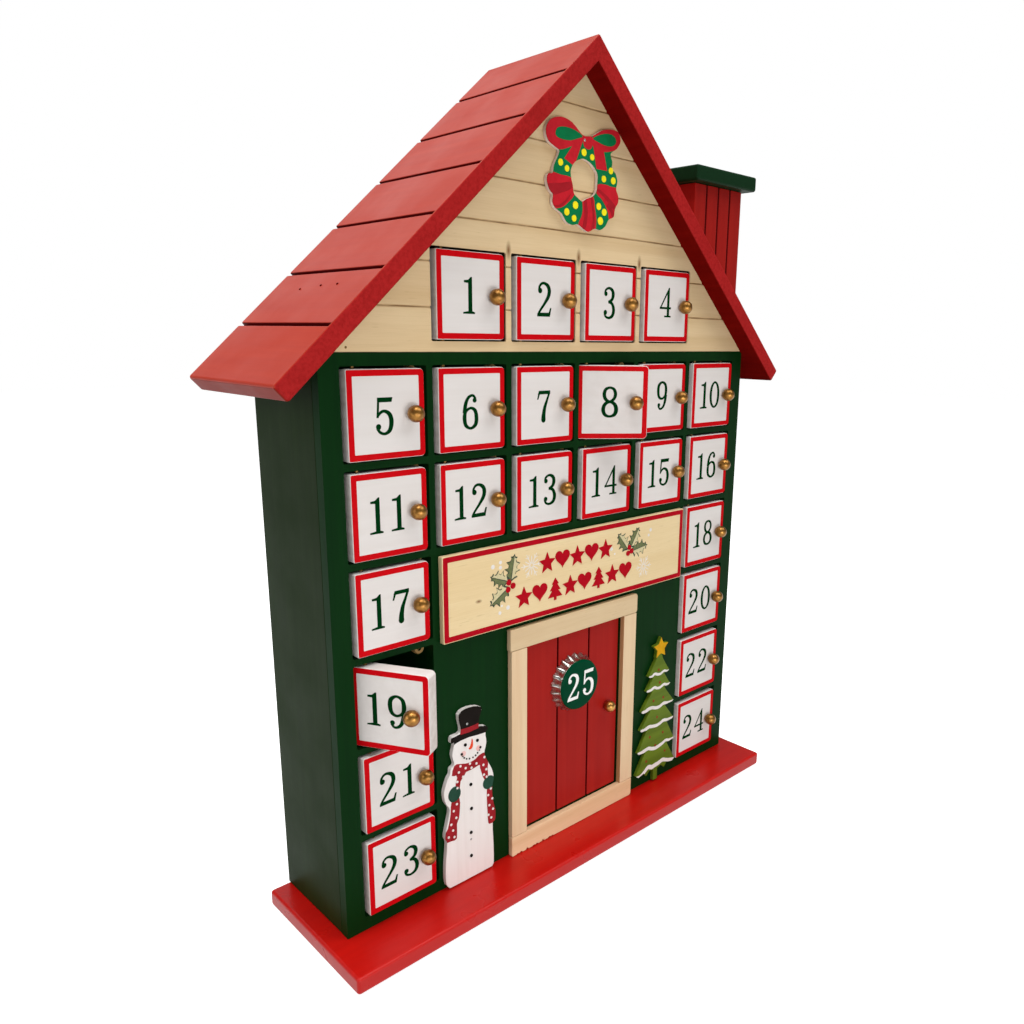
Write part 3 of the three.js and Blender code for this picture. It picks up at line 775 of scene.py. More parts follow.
    @staticmethod
    def ease(
        obj: Piece,
        width: float,
        segments: int = 2,
        angle: float = 35.0,
        where: Rule | None = None,
    ) -> Piece:
        """Round an object's sharp edges and shade it smooth.

        Args:
            obj: The object.
            width: The width of the rounding in millimetres.
            segments: Its number of faces.
            angle: The least angle of an edge that is rounded, in degrees.
            where: Says which edges are rounded from their two ends, in metres. All, if left out.

        Returns:
            The object.
        """
        limit = math.radians(angle)
        settings: dict[str, object] = {"limit_method": "ANGLE", "angle_limit": limit}
        if where:
            mesh = obj.data
            beside: dict[tuple[int, int], list[Vector]] = {}
            for polygon in mesh.polygons:
                for key in polygon.edge_keys:
                    beside.setdefault(key, []).append(polygon.normal.copy())
            name = "bevel_weight_edge"
            weights = mesh.attributes.get(name) or mesh.attributes.new(name, "FLOAT", "EDGE")
            for edge in mesh.edges:
                first, second = (mesh.vertices[index].co for index in edge.vertices)
                normals = beside.get(edge.key, [])
                sharp = len(normals) == 2 and normals[0].angle(normals[1]) > limit
                weights.data[edge.index].value = 1.0 if sharp and where(first, second) else 0.0
            settings = {"limit_method": "WEIGHT"}
        Bench.apply(obj, "BEVEL", width=width * MM, segments=segments, **settings)
        return Bench.apply(Bench.shade(obj, SMOOTH_BEND), "WEIGHTED_NORMAL", keep_sharp=True)

    @staticmethod
    def join(name: str, parts: Sequence[Piece]) -> Piece:
        """Join several objects into the first.

        Args:
            name: The joined object's name.
            parts: The objects.

        Returns:
            The joined object.
        """
        Bench.pick(*parts)
        if len(parts) > 1:
            bpy.ops.object.join()
        return Bench.named(name)

    @staticmethod
    def fuse(target: Piece, tool: Piece, operation: str = "UNION") -> Piece:
        """Combine a tool's solid with a target's and drop the tool.

        Args:
            target: The object that is kept.
            tool: The other object.
            operation: UNION, DIFFERENCE or INTERSECT.

        Returns:
            The target.
        """
        Bench.apply(target, "BOOLEAN", operation=operation, object=tool, solver="EXACT")
        bpy.data.objects.remove(tool)
        return target

    @staticmethod
    def copy(obj: Piece, name: str, matrix: Matrix | None = None) -> Piece:
        """Copy an object with a mesh of its own.

        Args:
            obj: The object to copy.
            name: The copy's name.
            matrix: A move that goes into the copy's mesh.

        Returns:
            The copy.
        """
        Bench.pick(obj)
        bpy.ops.object.duplicate(linked=False)
        made = Bench.named(name)
        if matrix is not None:
            made.matrix_world = matrix
            Bench.settle(made)
        return made

    @staticmethod
    def board(node: str, name: str) -> Piece:
        """Copy a packed board as one clean mesh that can be shaped.

        Args:
            node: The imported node.
            name: The copy's name.

        Returns:
            The copy, merged, with its flat faces whole.
        """
        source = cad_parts[node]
        made = bpy.data.objects.new(name, source.data.copy())
        bpy.context.scene.collection.objects.link(made)
        Bench.edit(made, "VERT")
        bpy.ops.mesh.select_all(action="SELECT")
        bpy.ops.mesh.remove_doubles(threshold=MERGE)
        bpy.ops.mesh.dissolve_limited(angle_limit=math.radians(FLAT_BEND))
        bpy.ops.mesh.select_all(action="SELECT")
        bpy.ops.mesh.vert_connect_concave()
        Bench.close()
        return made


def settle_on(obj: Piece, body: str, finish: Finish | None = None, node: str = "") -> Piece:
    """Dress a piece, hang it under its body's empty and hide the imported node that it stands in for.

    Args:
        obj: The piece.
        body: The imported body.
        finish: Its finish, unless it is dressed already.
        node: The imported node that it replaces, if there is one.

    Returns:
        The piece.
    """
    if finish:
        Workshop.finish(obj, finish)
    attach(obj, body)
    if node:
        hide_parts(node)
    return obj


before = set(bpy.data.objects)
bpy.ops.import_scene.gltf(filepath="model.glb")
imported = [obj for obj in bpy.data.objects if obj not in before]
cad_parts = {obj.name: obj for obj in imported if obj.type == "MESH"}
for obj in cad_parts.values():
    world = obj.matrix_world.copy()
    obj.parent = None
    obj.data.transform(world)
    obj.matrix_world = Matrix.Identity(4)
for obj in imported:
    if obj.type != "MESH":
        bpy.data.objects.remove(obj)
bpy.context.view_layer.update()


# Outlines


def disc(x: float, z: float, radius: float, count: int = 20) -> list[Point]:
    """Points round a circle."""
    turns = [2 * math.pi * step / count for step in range(count)]
    return [(x + radius * math.cos(turn), z + radius * math.sin(turn)) for turn in turns]


def rounded(
    x0: float, x1: float, z0: float, z1: float, radii: Sequence[float], steps: int = 5
) -> list[Point]:
    """A rectangle with rounded corners.

    Args:
        x0: Its left edge.
        x1: Its right edge.
        z0: Its lower edge.
        z1: Its upper edge.
        radii: Corner radii from the lower left, anticlockwise.
        steps: Faces in each corner.

    Returns:
        The outline, anticlockwise.
    """
    corners = ((x0, z0, 1, 1, 2), (x1, z0, -1, 1, 3), (x1, z1, -1, -1, 0), (x0, z1, 1, -1, 1))
    outline = []
    for (x, z, inward_x, inward_z, quarter), radius in zip(corners, radii):
        for step in range(steps + 1):
            turn = (quarter + step / steps) * math.pi / 2
            outline.append(
                (x + radius * (inward_x + math.cos(turn)), z + radius * (inward_z + math.sin(turn)))
            )
    return outline


def smooth(points: Points, steps: int = 4, closed: bool = True) -> list[Point]:
    """Run a smooth curve through points.

    Args:
        points: The points.
        steps: Places made for each of them.
        closed: Whether the curve comes back to its start.

    Returns:
        Places along the curve.
    """
    count = len(points)
    spans = count if closed else count - 1
    axes = range(len(points[0]))
    made: list[Point] = []
    for span in range(spans):
        if closed:
            four = [points[(span + offset) % count] for offset in (-1, 0, 1, 2)]
        else:
            four = [points[min(max(span + offset, 0), count - 1)] for offset in (-1, 0, 1, 2)]
        for step in range(steps):
            t = step / steps
            weights = (
                (-t + 2 * t * t - t**3) / 2,
                (2 - 5 * t * t + 3 * t**3) / 2,
                (t + 4 * t * t - 3 * t**3) / 2,
                (t**3 - t * t) / 2,
            )
            made.append(tuple(sum(w * p[axis] for w, p in zip(weights, four)) for axis in axes))
    if not closed:
        made.append(tuple(points[-1]))
    return made


def swept(path: Sequence[Place], steps: int = 5, closed: bool = False) -> list[tuple[Point, Point]]:
    """The two sides of a pen stroke.

    Args:
        path: Places along the stroke with the pen's half width at each.
        steps: Places made for each of them.
        closed: Whether the stroke is a ring.

    Returns:
        Pairs of places across the stroke. A ring repeats its first pair at the end.
    """
    line = smooth(path, steps, closed)
    count = len(line)
    sides = []
    for index, (x, z, half) in enumerate(line):
        before = line[index - 1] if closed or index else line[0]
        after = line[(index + 1) % count] if closed or index < count - 1 else line[-1]
        way = Vector((after[0] - before[0], after[1] - before[1])).normalized()
        sides.append(((x - way.y * half, z + way.x * half), (x + way.y * half, z - way.x * half)))
    return [*sides, sides[0]] if closed else sides


def moved(points: Points, x: float, z: float, scale: float = 1.0, turn: float = 0.0) -> list[Point]:
    """Scale, turn and move an outline.

    Args:
        points: The outline.
        x: How far right it moves.
        z: How far up it moves.
        scale: Its scale, about its own origin.
        turn: Its turn in degrees, anticlockwise.

    Returns:
        The moved outline.
    """
    angle = math.radians(turn)
    cos, sin = math.cos(angle) * scale, math.sin(angle) * scale
    return [(x + px * cos - pz * sin, z + px * sin + pz * cos) for px, pz in points]


def star(x: float, z: float, radius: float, waist: float = 0.5, rays: int = 5) -> list[Point]:
    """A star with one ray pointing up."""
    turns = [math.pi / 2 - math.pi * step / rays for step in range(2 * rays)]
    sizes = [radius if step % 2 == 0 else radius * waist for step in range(2 * rays)]
    return [(x + size * math.cos(turn), z + size * math.sin(turn)) for turn, size in zip(turns, sizes)]


# Numerals


@dataclass(frozen=True)
class Glyph:
    """One figure of a condensed book numeral, drawn with filled shapes and pen strokes."""

    width: float
    shapes: tuple[tuple[Point, ...], ...] = ()
    strokes: tuple[Stroke, ...] = ()
    rings: tuple[Stroke, ...] = ()
    balls: Stroke = ()


HALF_FIGURE = 7.6
SIX_STROKES = (
    (
        (7.2, 13.2, 0.5), (6.2, 14.5, 0.5), (4.9, 14.75, 0.5), (3.0, 13.6, 0.65), (1.7, 10.9, 0.85),
        (1.1, 7.2, 0.95),
    ),
)
SIX_RING = (
    (1.1, 5.6, 0.95), (1.7, 2.0, 0.8), (4.4, 0.5, 0.5), (7.0, 2.0, 0.85), (7.6, 4.9, 0.95), (6.9, 8.1, 0.8),
    (4.6, 9.35, 0.5), (2.0, 8.1, 0.6),
)

GLYPHS: dict[str, Glyph] = {
    "0": Glyph(
        9.2,
        rings=(
            (
                (1.0, 7.5, 0.95), (1.9, 2.6, 0.8), (4.6, 0.5, 0.5), (7.3, 2.6, 0.8), (8.2, 7.5, 0.95),
                (7.3, 12.4, 0.8), (4.6, 14.7, 0.5), (1.9, 12.4, 0.8),
            ),
        ),
    ),
    "1": Glyph(
        6.6,
        shapes=(
            (
                (0.2, 0.0), (6.5, 0.0), (6.5, 0.7), (5.1, 1.15), (5.1, 15.2), (4.4, 15.2), (3.0, 14.0),
                (0.8, 13.75), (0.8, 12.85), (3.0, 12.7), (3.0, 1.15), (0.2, 0.7),
            ),
        ),
    ),
    "2": Glyph(
        8.9,
        shapes=(((0.1, 0.0), (8.0, 0.0), (8.9, 3.9), (8.1, 4.0), (7.2, 1.8), (0.9, 1.7), (0.1, 0.9)),),
        strokes=(
            (
                (1.2, 11.6, 0.5), (1.5, 13.3, 0.5), (2.8, 14.6, 0.5), (4.6, 14.75, 0.55), (6.7, 13.6, 0.85),
                (7.5, 11.4, 0.95), (6.8, 8.8, 0.85), (4.6, 5.8, 0.6), (2.1, 2.9, 0.5), (0.7, 0.9, 0.5),
            ),
        ),
        balls=((1.85, 11.5, 1.25),),
    ),
    "3": Glyph(
        8.4,
        strokes=(
            (
                (1.1, 12.2, 0.5), (1.7, 13.8, 0.5), (3.9, 14.75, 0.5), (6.2, 13.8, 0.8), (7.0, 11.7, 0.95),
                (6.1, 9.3, 0.75), (3.6, 8.1, 0.45),
            ),
            (
                (3.6, 8.1, 0.45), (6.2, 7.4, 0.7), (7.5, 4.5, 0.95), (6.6, 1.6, 0.8), (4.0, 0.5, 0.5),
                (1.8, 1.2, 0.5), (1.0, 2.7, 0.5),
            ),
        ),
        balls=((1.75, 12.0, 1.15), (1.6, 3.1, 1.2)),
    ),
    "4": Glyph(
        9.4,
        shapes=(
            ((6.0, 0.8), (7.9, 0.8), (7.9, 15.2), (7.1, 15.2), (6.0, 13.4)),
            ((0.1, 4.2), (9.3, 4.2), (9.3, 5.3), (0.1, 5.3)),
            ((3.9, 0.0), (9.3, 0.0), (9.3, 0.9), (3.9, 0.9)),
            ((0.1, 4.6), (1.3, 4.9), (7.3, 13.7), (7.1, 15.2)),
        ),
    ),
    "5": Glyph(
        8.3,
        shapes=(
            ((1.0, 13.2), (7.7, 13.2), (8.2, 15.1), (1.0, 15.1)),
            ((0.5, 7.0), (1.5, 7.0), (2.0, 13.6), (1.0, 13.6)),
        ),
        strokes=(
            (
                (0.8, 7.2, 0.35), (2.4, 9.1, 0.5), (4.4, 9.6, 0.55), (6.6, 8.2, 0.85), (7.35, 5.2, 0.95),
                (6.5, 1.9, 0.8), (4.2, 0.5, 0.5), (1.9, 1.2, 0.5), (0.7, 2.9, 0.5),
            ),
        ),
        balls=((1.3, 3.4, 1.2),),
    ),
    "6": Glyph(8.6, strokes=SIX_STROKES, rings=(SIX_RING,), balls=((6.7, 12.7, 1.1),)),
    "7": Glyph(
        8.4,
        shapes=(
            ((0.5, 13.4), (8.3, 13.4), (8.3, 15.1), (1.2, 15.1)),
            ((0.0, 11.0), (0.8, 11.0), (1.9, 13.9), (0.9, 14.2)),
        ),
        strokes=(((7.8, 14.2, 0.45), (6.3, 10.6, 0.6), (4.9, 7.2, 0.85), (4.2, 3.6, 1.1), (4.1, 1.4, 1.3)),),
        balls=((4.1, 1.4, 1.35),),
    ),
    "8": Glyph(
        8.6,
        rings=(
            (
                (1.4, 11.5, 0.8), (2.2, 9.0, 0.75), (4.3, 7.8, 0.6), (6.4, 9.3, 0.65), (7.1, 11.6, 0.75),
                (6.3, 13.9, 0.65), (4.3, 14.75, 0.5), (2.2, 13.9, 0.7),
            ),
            (
                (1.0, 4.0, 0.85), (1.9, 1.4, 0.75), (4.3, 0.5, 0.5), (6.8, 1.5, 0.8), (7.6, 4.0, 0.95),
                (6.7, 6.6, 0.8), (4.3, 7.8, 0.6), (1.9, 6.6, 0.75),
            ),
        ),
    ),
}


class Type:
    """Builds each figure once and sets numbers with copies of it."""

    gap = 2.9
    kerning = {"10": -0.6, "11": 0.7, "17": 1.2, "19": 0.8}
    weight = 0.1
    made: dict[str, Piece] = {}

    @classmethod
    def figure(cls, digit: str) -> Piece:
        """Model one figure as a plate a millimetre thick, its lower left corner at the frame's origin.

        Args:
            digit: The figure.

        Returns:
            The plate, kept out of the render.
        """
        if digit in cls.made:
            return cls.made[digit]
        if digit == "9":
            solid = Bench.copy(cls.figure("6"), "figure_9")
            Bench.pick(solid)
            middle = spot(GLYPHS["6"].width / 2, 0, HALF_FIGURE)
            half_turn = Matrix.Rotation(math.pi, 4, "Y")
            solid.matrix_world = Matrix.Translation(middle) @ half_turn @ Matrix.Translation(-middle)
            Bench.settle(solid)
        else:
            glyph = GLYPHS[digit]
            parts = [Bench.plate("part", shape, 0, 1) for shape in glyph.shapes]
            parts += [Bench.ribbon("part", swept(cls.inked(stroke)), 0, 1) for stroke in glyph.strokes]
            parts += [
                Bench.ribbon("part", swept(cls.inked(ring), closed=True), 0, 1, True)
                for ring in glyph.rings
            ]
            parts += [Bench.plate("part", disc(*ball), 0, 1) for ball in glyph.balls]
            solid = parts[0]
            for part in parts[1:]:
                Bench.fuse(solid, part)
            solid.name = f"figure_{digit}"
        solid.hide_render = True
        cls.made[digit] = solid
        return solid

    @classmethod
    def inked(cls, stroke: Sequence[Place]) -> list[Place]:
        """A stroke a little bolder than drawn."""
        return [(x, z, half + cls.weight) for x, z, half in stroke]

    @classmethod
    def number(
        cls, name: str, text: str, x: float, y: float, z: float, scale: float = 1.0, thick: float = 0.05
    ) -> Piece:
        """Set a number in raised print.

        Args:
            name: The piece's name.
            text: The number.
            x: The middle of the number.
            y: The face that it stands on.
            z: The number's foot.
            scale: Its size.
            thick: How far it stands out.

        Returns:
            The number as one mesh.
        """
        widths = [GLYPHS["6" if digit == "9" else digit].width for digit in text]
        gap = cls.gap + cls.kerning.get(text, 0.0)
        left = x - scale * (sum(widths) + gap * (len(text) - 1)) / 2
        parts = []
        for digit, width in zip(text, widths):
            stretch = Matrix.Diagonal((scale, thick, scale, 1))
            place = Matrix.Translation(spot(left, y - thick, z)) @ stretch @ TO_ORIGIN
            parts.append(Bench.copy(cls.figure(digit), name, place))
            parts[-1].hide_render = False
            left += scale * (width + gap)
        return Bench.join(name, parts)

    @classmethod
    def clear(cls) -> None:
        """Remove the figures that the numbers were copied from."""
        for solid in cls.made.values():
            bpy.data.objects.remove(solid)
        cls.made.clear()


# The grid of compartments

CELL_WIDTH = 40.3
CELL_HEIGHT = 38.2
BOARD = 3.0
FIRST_CELL_LEFT = -128.4
FLOOR_TOP = 6.4
LOFT_SILL = 260.4
COLUMNS = 6
ROWS = 6
FULL_ROWS = 2
WALL_FACE = -0.2


@dataclass(frozen=True)
class Compartment:
    """One numbered compartment, by its lower left corner."""

    number: int
    left: float
    foot: float

    @property
    def body(self) -> str:
        """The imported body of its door."""
        return f"door_{self.number:02d}"


def compartments() -> list[Compartment]:
    """Every numbered compartment, in order: the loft, two full rows, then the outer columns."""
    places = [(column, LOFT_SILL) for column in range(1, COLUMNS - 1)]
    for row in range(ROWS):
        foot = FLOOR_TOP + (ROWS - 1 - row) * (CELL_HEIGHT + BOARD)
        columns = range(COLUMNS) if row < FULL_ROWS else (0, COLUMNS - 1)
        places += [(column, foot) for column in columns]
    return [
        Compartment(index + 1, FIRST_CELL_LEFT + column * (CELL_WIDTH + BOARD), foot)
        for index, (column, foot) in enumerate(places)
    ]


# Small fittings


def turned(name: str, profile: Points, x: float, z: float, steps: int = 32) -> Piece:
    """Spin a profile about a line that runs from front to back.

    Args:
        name: The piece's name.
        profile: Places as radius and y, from the axis and back to it.
        x: The axis's x.
        z: The axis's height.
        steps: Faces round the piece.

    Returns:
        The turned piece.
    """
    obj = Bench.ring(name, [spot(x + radius, y, z) for radius, y in profile], "NOTHING")
    Bench.edit(obj, "EDGE")
    Bench.leave()
    last = len(profile) - 1
    for edge in obj.data.edges:
        edge.select = set(edge.vertices) == {0, last}
    Bench.pick(obj)
    bpy.ops.object.mode_set(mode="EDIT")
    bpy.ops.mesh.delete(type="EDGE")
    bpy.ops.mesh.select_all(action="SELECT")
    bpy.ops.mesh.spin(steps=steps, angle=2 * math.pi, center=spot(x, 0, z), axis=(0, 1, 0))
    Bench.close(MERGE)
    return Bench.shade(obj, TURNED_BEND)


KNOB_NECK = 0.47
KNOB_STEPS = 14
KNOB_LIFT = 0.2
ROOT = 0.4
PIN_ARRIS = 0.25
PIN_BEND = 60.0


def ball_knob(name: str, radius: float, x: float, face: float, z: float) -> Piece:
    """Turn a ball knob on a short neck.

    Args:
        name: The piece's name.
        radius: The ball's radius.
        x: The knob's x.
        face: The y of the face that it stands on.
        z: Its height.

    Returns:
        The knob.
    """
    neck = radius * KNOB_NECK
    start = math.asin(neck / radius)
    centre = face + (-KNOB_LIFT - radius * math.cos(start))
    profile = [(0.0, face + ROOT), (neck, face + ROOT), (neck, face - KNOB_LIFT / 2)]
    for step in range(KNOB_STEPS):
        angle = start + (math.pi - start) * step / KNOB_STEPS
        profile.append((radius * math.sin(angle), centre + radius * math.cos(angle)))
    return turned(name, [*profile, (0.0, centre - radius)], x, z)


def brad(name: str, x: float, face: float, z: float, radius: float = 0.6) -> Piece:
    """Turn the domed head of a small nail.

    Args:
        name: The piece's name.
        x: The nail's x.
        face: The y of the face that it is driven into.
        z: Its height.
        radius: The head's radius.

    Returns:
        The nail's head.
    """
    profile = [
        (0.0, face + 0.3), (radius, face + 0.3), (radius, face - 0.05), (radius * 0.8, face - 0.16),
        (radius * 0.4, face - 0.22), (0.0, face - 0.24),
    ]
    return turned(name, profile, x, z, 16)


def pin(name: str, x: float, y: float, z0: float, z1: float, radius: float = 0.9) -> Piece:
    """Add an upright pin with eased ends.

    Args:
        name: The piece's name.
        x: Its x.
        y: Its y.
        z0: Its foot.
        z1: Its head.
        radius: Its radius.

    Returns:
        The pin.
    """
    bpy.ops.object.select_all(action="DESELECT")
    bpy.ops.mesh.primitive_cylinder_add(
        vertices=20, radius=radius * MM, depth=(z1 - z0) * MM, location=spot(x, y, (z0 + z1) / 2)
    )
    obj = Bench.settle(Bench.named(name))
    return Bench.ease(obj, PIN_ARRIS, angle=PIN_BEND)


# Numbered doors


@dataclass
class NumberDoors:
    """Twenty-four white blocks with a red edge, a green number, a ball knob and two pivot pins."""

    width: float = CELL_WIDTH - 4.1
    height: float = CELL_HEIGHT - 1.8
    foot: float = 0.7
    left_gap: float = 1.6
    thick: float = 7.2
    proud: float = 1.8
    pivot_inset: float = 5.0
    hinge_corner: float = 0.8
    free_corner: float = 2.0
    arris: float = 0.55
    border: float = 2.75
    border_inset: float = 0.3
    print_thick: float = 0.05
    print_shift: Point = (1.4, 1.9)
    print_drop: float = 7.4
    knob_radius: float = 3.6
    knob_inset: float = 6.6
    pin_bite: float = 1.1
    head_gap: float = 1.1
    ajar: dict[int, float] = field(default_factory=lambda: {8: 36.0, 19: 60.0})
    print_rise: dict[int, float] = field(default_factory=lambda: {4: 1.9, 5: -0.8, 6: -1.3, 7: -0.9, 9: 1.2})

    @property
    def left(self) -> float:
        """The block's left edge, from the pivot."""
        return -self.pivot_inset

    @property
    def right(self) -> float:
        """The block's right edge, from the pivot."""
        return self.width - self.pivot_inset

    @property
    def face(self) -> float:
        """The y of the block's face, from the pivot."""
        return -self.thick / 2

    def outline(self, inset: float, steps: int = 5) -> list[Point]:
        """The block's outline, drawn in by an inset."""
        hinge = max(self.hinge_corner - inset, 0.35)
        free = max(self.free_corner - inset, 0.45)
        return rounded(
            self.left + inset,
            self.right - inset,
            self.foot + inset,
            self.foot + self.height - inset,
            (hinge, free, free, hinge),
            steps,
        )

    def block(self) -> Piece:
        """Cut the block and round its edges."""
        block = Bench.plate("block", self.outline(0), self.face, -self.face)
        return Bench.ease(block, self.arris, 3, SMOOTH_BEND)

    def panel(self) -> Piece:
        """Paint the block, thinner on its sawn sides."""
        panel = Workshop.finish(self.block(), WHITE_DOOR)
        return Workshop.also(panel, WHITE_SAWN, lambda normal, middle: abs(normal.x) > 0.9)

    def edging(self) -> Piece:
        """Print the red edging."""
        outer, inner = self.outline(self.border_inset), self.outline(self.border)
        sides = list(zip(outer, inner))
        return Bench.ribbon("edging", [*sides, sides[0]], self.face - self.print_thick, self.face + 0.1, True)

    def pins(self) -> Piece:
        """Add the two pivot pins."""
        head = self.foot + self.height
        lower = pin("pins", 0, 0, -self.pin_bite, self.foot + 1)
        upper = pin("pins", 0, 0, head - 1, head + self.head_gap + self.pin_bite)
        return Bench.join("pins", [lower, upper])

    def hang(self, cell: Compartment) -> Matrix:
        """The move from the pivot's own place to a compartment, with the door as far open as it stands.

        Args:
            cell: The compartment.

        Returns:
            The move.
        """
        pivot = spot(cell.left + self.left_gap + self.pivot_inset, self.thick / 2 - self.proud, cell.foot)
        turn = Matrix.Rotation(-math.radians(self.ajar.get(cell.number, 0.0)), 4, "Z")
        return Matrix.Translation(pivot) @ turn @ TO_ORIGIN

    def build(self) -> None:
        """Model one door and hang a copy in every compartment."""
        middle = self.foot + self.height / 2
        panel, edging = self.panel(), Workshop.finish(self.edging(), BORDER_RED)
        knob = ball_knob("knob", self.knob_radius, self.right - self.knob_inset, self.face, middle)
        models = (
            ("panel", panel, Slot.WHITE),
            ("edging", edging, Slot.RED),
            ("knob", Workshop.finish(knob, AGED_BRASS), Slot.BRASS),
            ("pins", Workshop.finish(self.pins(), BRONZE), Slot.BRASS),
        )
        for cell in compartments():
            place = self.hang(cell)
            for part, model, slot in models:
                piece = Bench.copy(model, f"{cell.body}_{part}", place)
                settle_on(piece, cell.body, node=f"number_{cell.body}" if part == "panel" else "")
            text = str(cell.number)
            centre = (self.left + self.right) / 2 - self.print_shift[len(text) - 1]
            foot = middle - self.print_drop + self.print_rise.get(cell.number, 0.0)
            number = Type.number(f"{cell.body}_number", text, centre, self.face, foot, thick=self.print_thick)
            number.matrix_world = place
            Bench.settle(number)
            settle_on(number, cell.body, NUMERAL_GREEN)
            LOG.info("door %d", cell.number)
        for _, model, _ in models:
            bpy.data.objects.remove(model)


# Front door


@dataclass
class FrontDoor:
    """A red door of three planks on two pins, with a ball knob."""

    left: float = -33.5
    right: float = 35.3
    foot: float = 11.6
    head: float = 112.3
    face: float = 0.2
    thick: float = 4.8
    planks: int = 3
    joint: float = 0.7
    joint_depth: float = 1.3
    joint_side: tuple[Point, ...] = ((0.45, 1.0), (0.55, 0.45), (0.85, 0.12), (1.3, 0.0))
    arris: float = 0.4
    pin_bite: float = 1.1
    knob_radius: float = 3.25
    knob_inset: float = 8.6
    knob_height: float = 62.2
    pivot_inset: float = 7.0
    sill: float = 11.0
    lintel: float = 113.0
    body: str = "front_door"

    def outline(self) -> list[Point]:
        """The door seen from above, with an open joint between its planks."""
        outline = [(self.left, self.face)]
        joint = [*((-across, depth) for across, depth in reversed(self.joint_side)), *self.joint_side]
        for plank in range(1, self.planks):
            x = self.left + (self.right - self.left) * plank / self.planks
            outline += [
                (x + across * self.joint, self.face + depth * self.joint_depth) for across, depth in joint
            ]
        back = self.face + self.thick
        return [*outline, (self.right, self.face), (self.right, back), (self.left, back)]

    def slab(self) -> Piece:
        """Raise the door from its outline and round its edges."""
        flat = Bench.ring("front_door_slab", [spot(x, y, self.foot) for x, y in self.outline()])
        return Bench.ease(Bench.raised(flat, (0, 0, self.head - self.foot)), self.arris, angle=SAWN_BEND)

    def build(self) -> None:
        """Model the door with its fittings."""
        slab = settle_on(self.slab(), self.body, RED_UPRIGHT, "main_door")
        Workshop.seams(slab, Vector((0, -1, 0)), self.joint_depth)
        pivot = self.left + self.pivot_inset
        y = self.face + self.thick / 2
        lower = pin("front_door_pins", pivot, y, self.sill - self.pin_bite, self.foot + 1)
        upper = pin("front_door_pins", pivot, y, self.head - 1, self.lintel + self.pin_bite)
        settle_on(Bench.join("front_door_pins", [lower, upper]), self.body, BRONZE)
        knob_x = self.right - self.knob_inset
        knob = ball_knob("front_door_knob", self.knob_radius, knob_x, self.face, self.knob_height)
        settle_on(knob, self.body, BRASS, "main_door_knob")
        LOG.info("front door")


@dataclass
class CrownCap:
    """A fluted tinplate cap with a green enamelled face and a white number."""

    x: float = 0.1
    z: float = 83.9
    base: float = 0.0
    height: float = 6.0
    flutes: int = 21
    steps_per_flute: int = 10
    wall: float = 0.35
    number_scale: float = 0.96
    number_weight: float = 0.02
    body: str = "front_door"

    def profile(self) -> list[Place]:
        """Radius, depth from the top and flute depth, from the middle of the face to the skirt's edge."""
        return [
            (0.0, 0.0, 0.0),
            (6.0, 0.0, 0.0),
            (12.2, 0.0, 0.0),
            (12.9, 0.06, 0.0),
            (13.35, 0.3, 0.0),
            (13.6, 0.7, 0.0),
            (13.75, 1.3, 0.05),
            (13.95, 2.0, 0.2),
            (14.25, 2.9, 0.5),
            (14.6, 3.8, 0.8),
            (15.0, 4.7, 1.0),
            (15.35, 5.5, 1.05),
            (15.5, 6.0, 1.0),
        ]

    def shell(self) -> Piece:
        """Draw the shell ring by ring and thicken it."""
        profile = self.profile()
        count = self.flutes * self.steps_per_flute
        bpy.ops.object.select_all(action="DESELECT")
        bpy.ops.mesh.primitive_grid_add(x_subdivisions=count, y_subdivisions=len(profile) - 1, size=2)
        obj = Bench.named("crown_cap_shell")
        for ring, (radius, depth, flute) in enumerate(profile):
            for step in range(count + 1):
                angle = 2 * math.pi * step / count
                wave = math.cos(self.flutes * angle)
                swell = math.copysign(abs(wave) ** 0.7, wave)
                reach = radius + 0.62 * flute * swell
                x, z = self.x + reach * math.cos(angle), self.z + reach * math.sin(angle)
                vertex = obj.data.vertices[ring * (count + 1) + step]
                vertex.co = spot(x, self.base - self.height + depth, z)
        Bench.edit(obj, "VERT")
        Bench.close(MERGE)
        return Bench.shade(Bench.apply(obj, "SOLIDIFY", thickness=self.wall * MM, offset=-1), SAWN_BEND)

    def build(self) -> None:
        """Model the cap, its enamel and its number."""
        settle_on(self.shell(), self.body, TINPLATE, "crown_cap")
        top = self.base - self.height
        rim = [
            (0.0, top + 0.1), (13.62, top + 0.95), (13.7, top + 0.6), (13.42, top + 0.22),
            (12.95, top - 0.04), (12.2, top - 0.08), (0.0, top - 0.08),
        ]
        enamel = turned("crown_cap_enamel", rim, self.x, self.z, 72)
        settle_on(enamel, self.body, ENAMEL_GREEN)
        foot = self.z - HALF_FIGURE * self.number_scale
        Type.weight += self.number_weight
        number = Type.number("crown_cap_number", "25", self.x + 0.2, top - 0.08, foot, self.number_scale)
        Type.clear()
        Type.weight -= self.number_weight
        settle_on(number, self.body, ENAMEL_WHITE)
        LOG.info("crown cap")


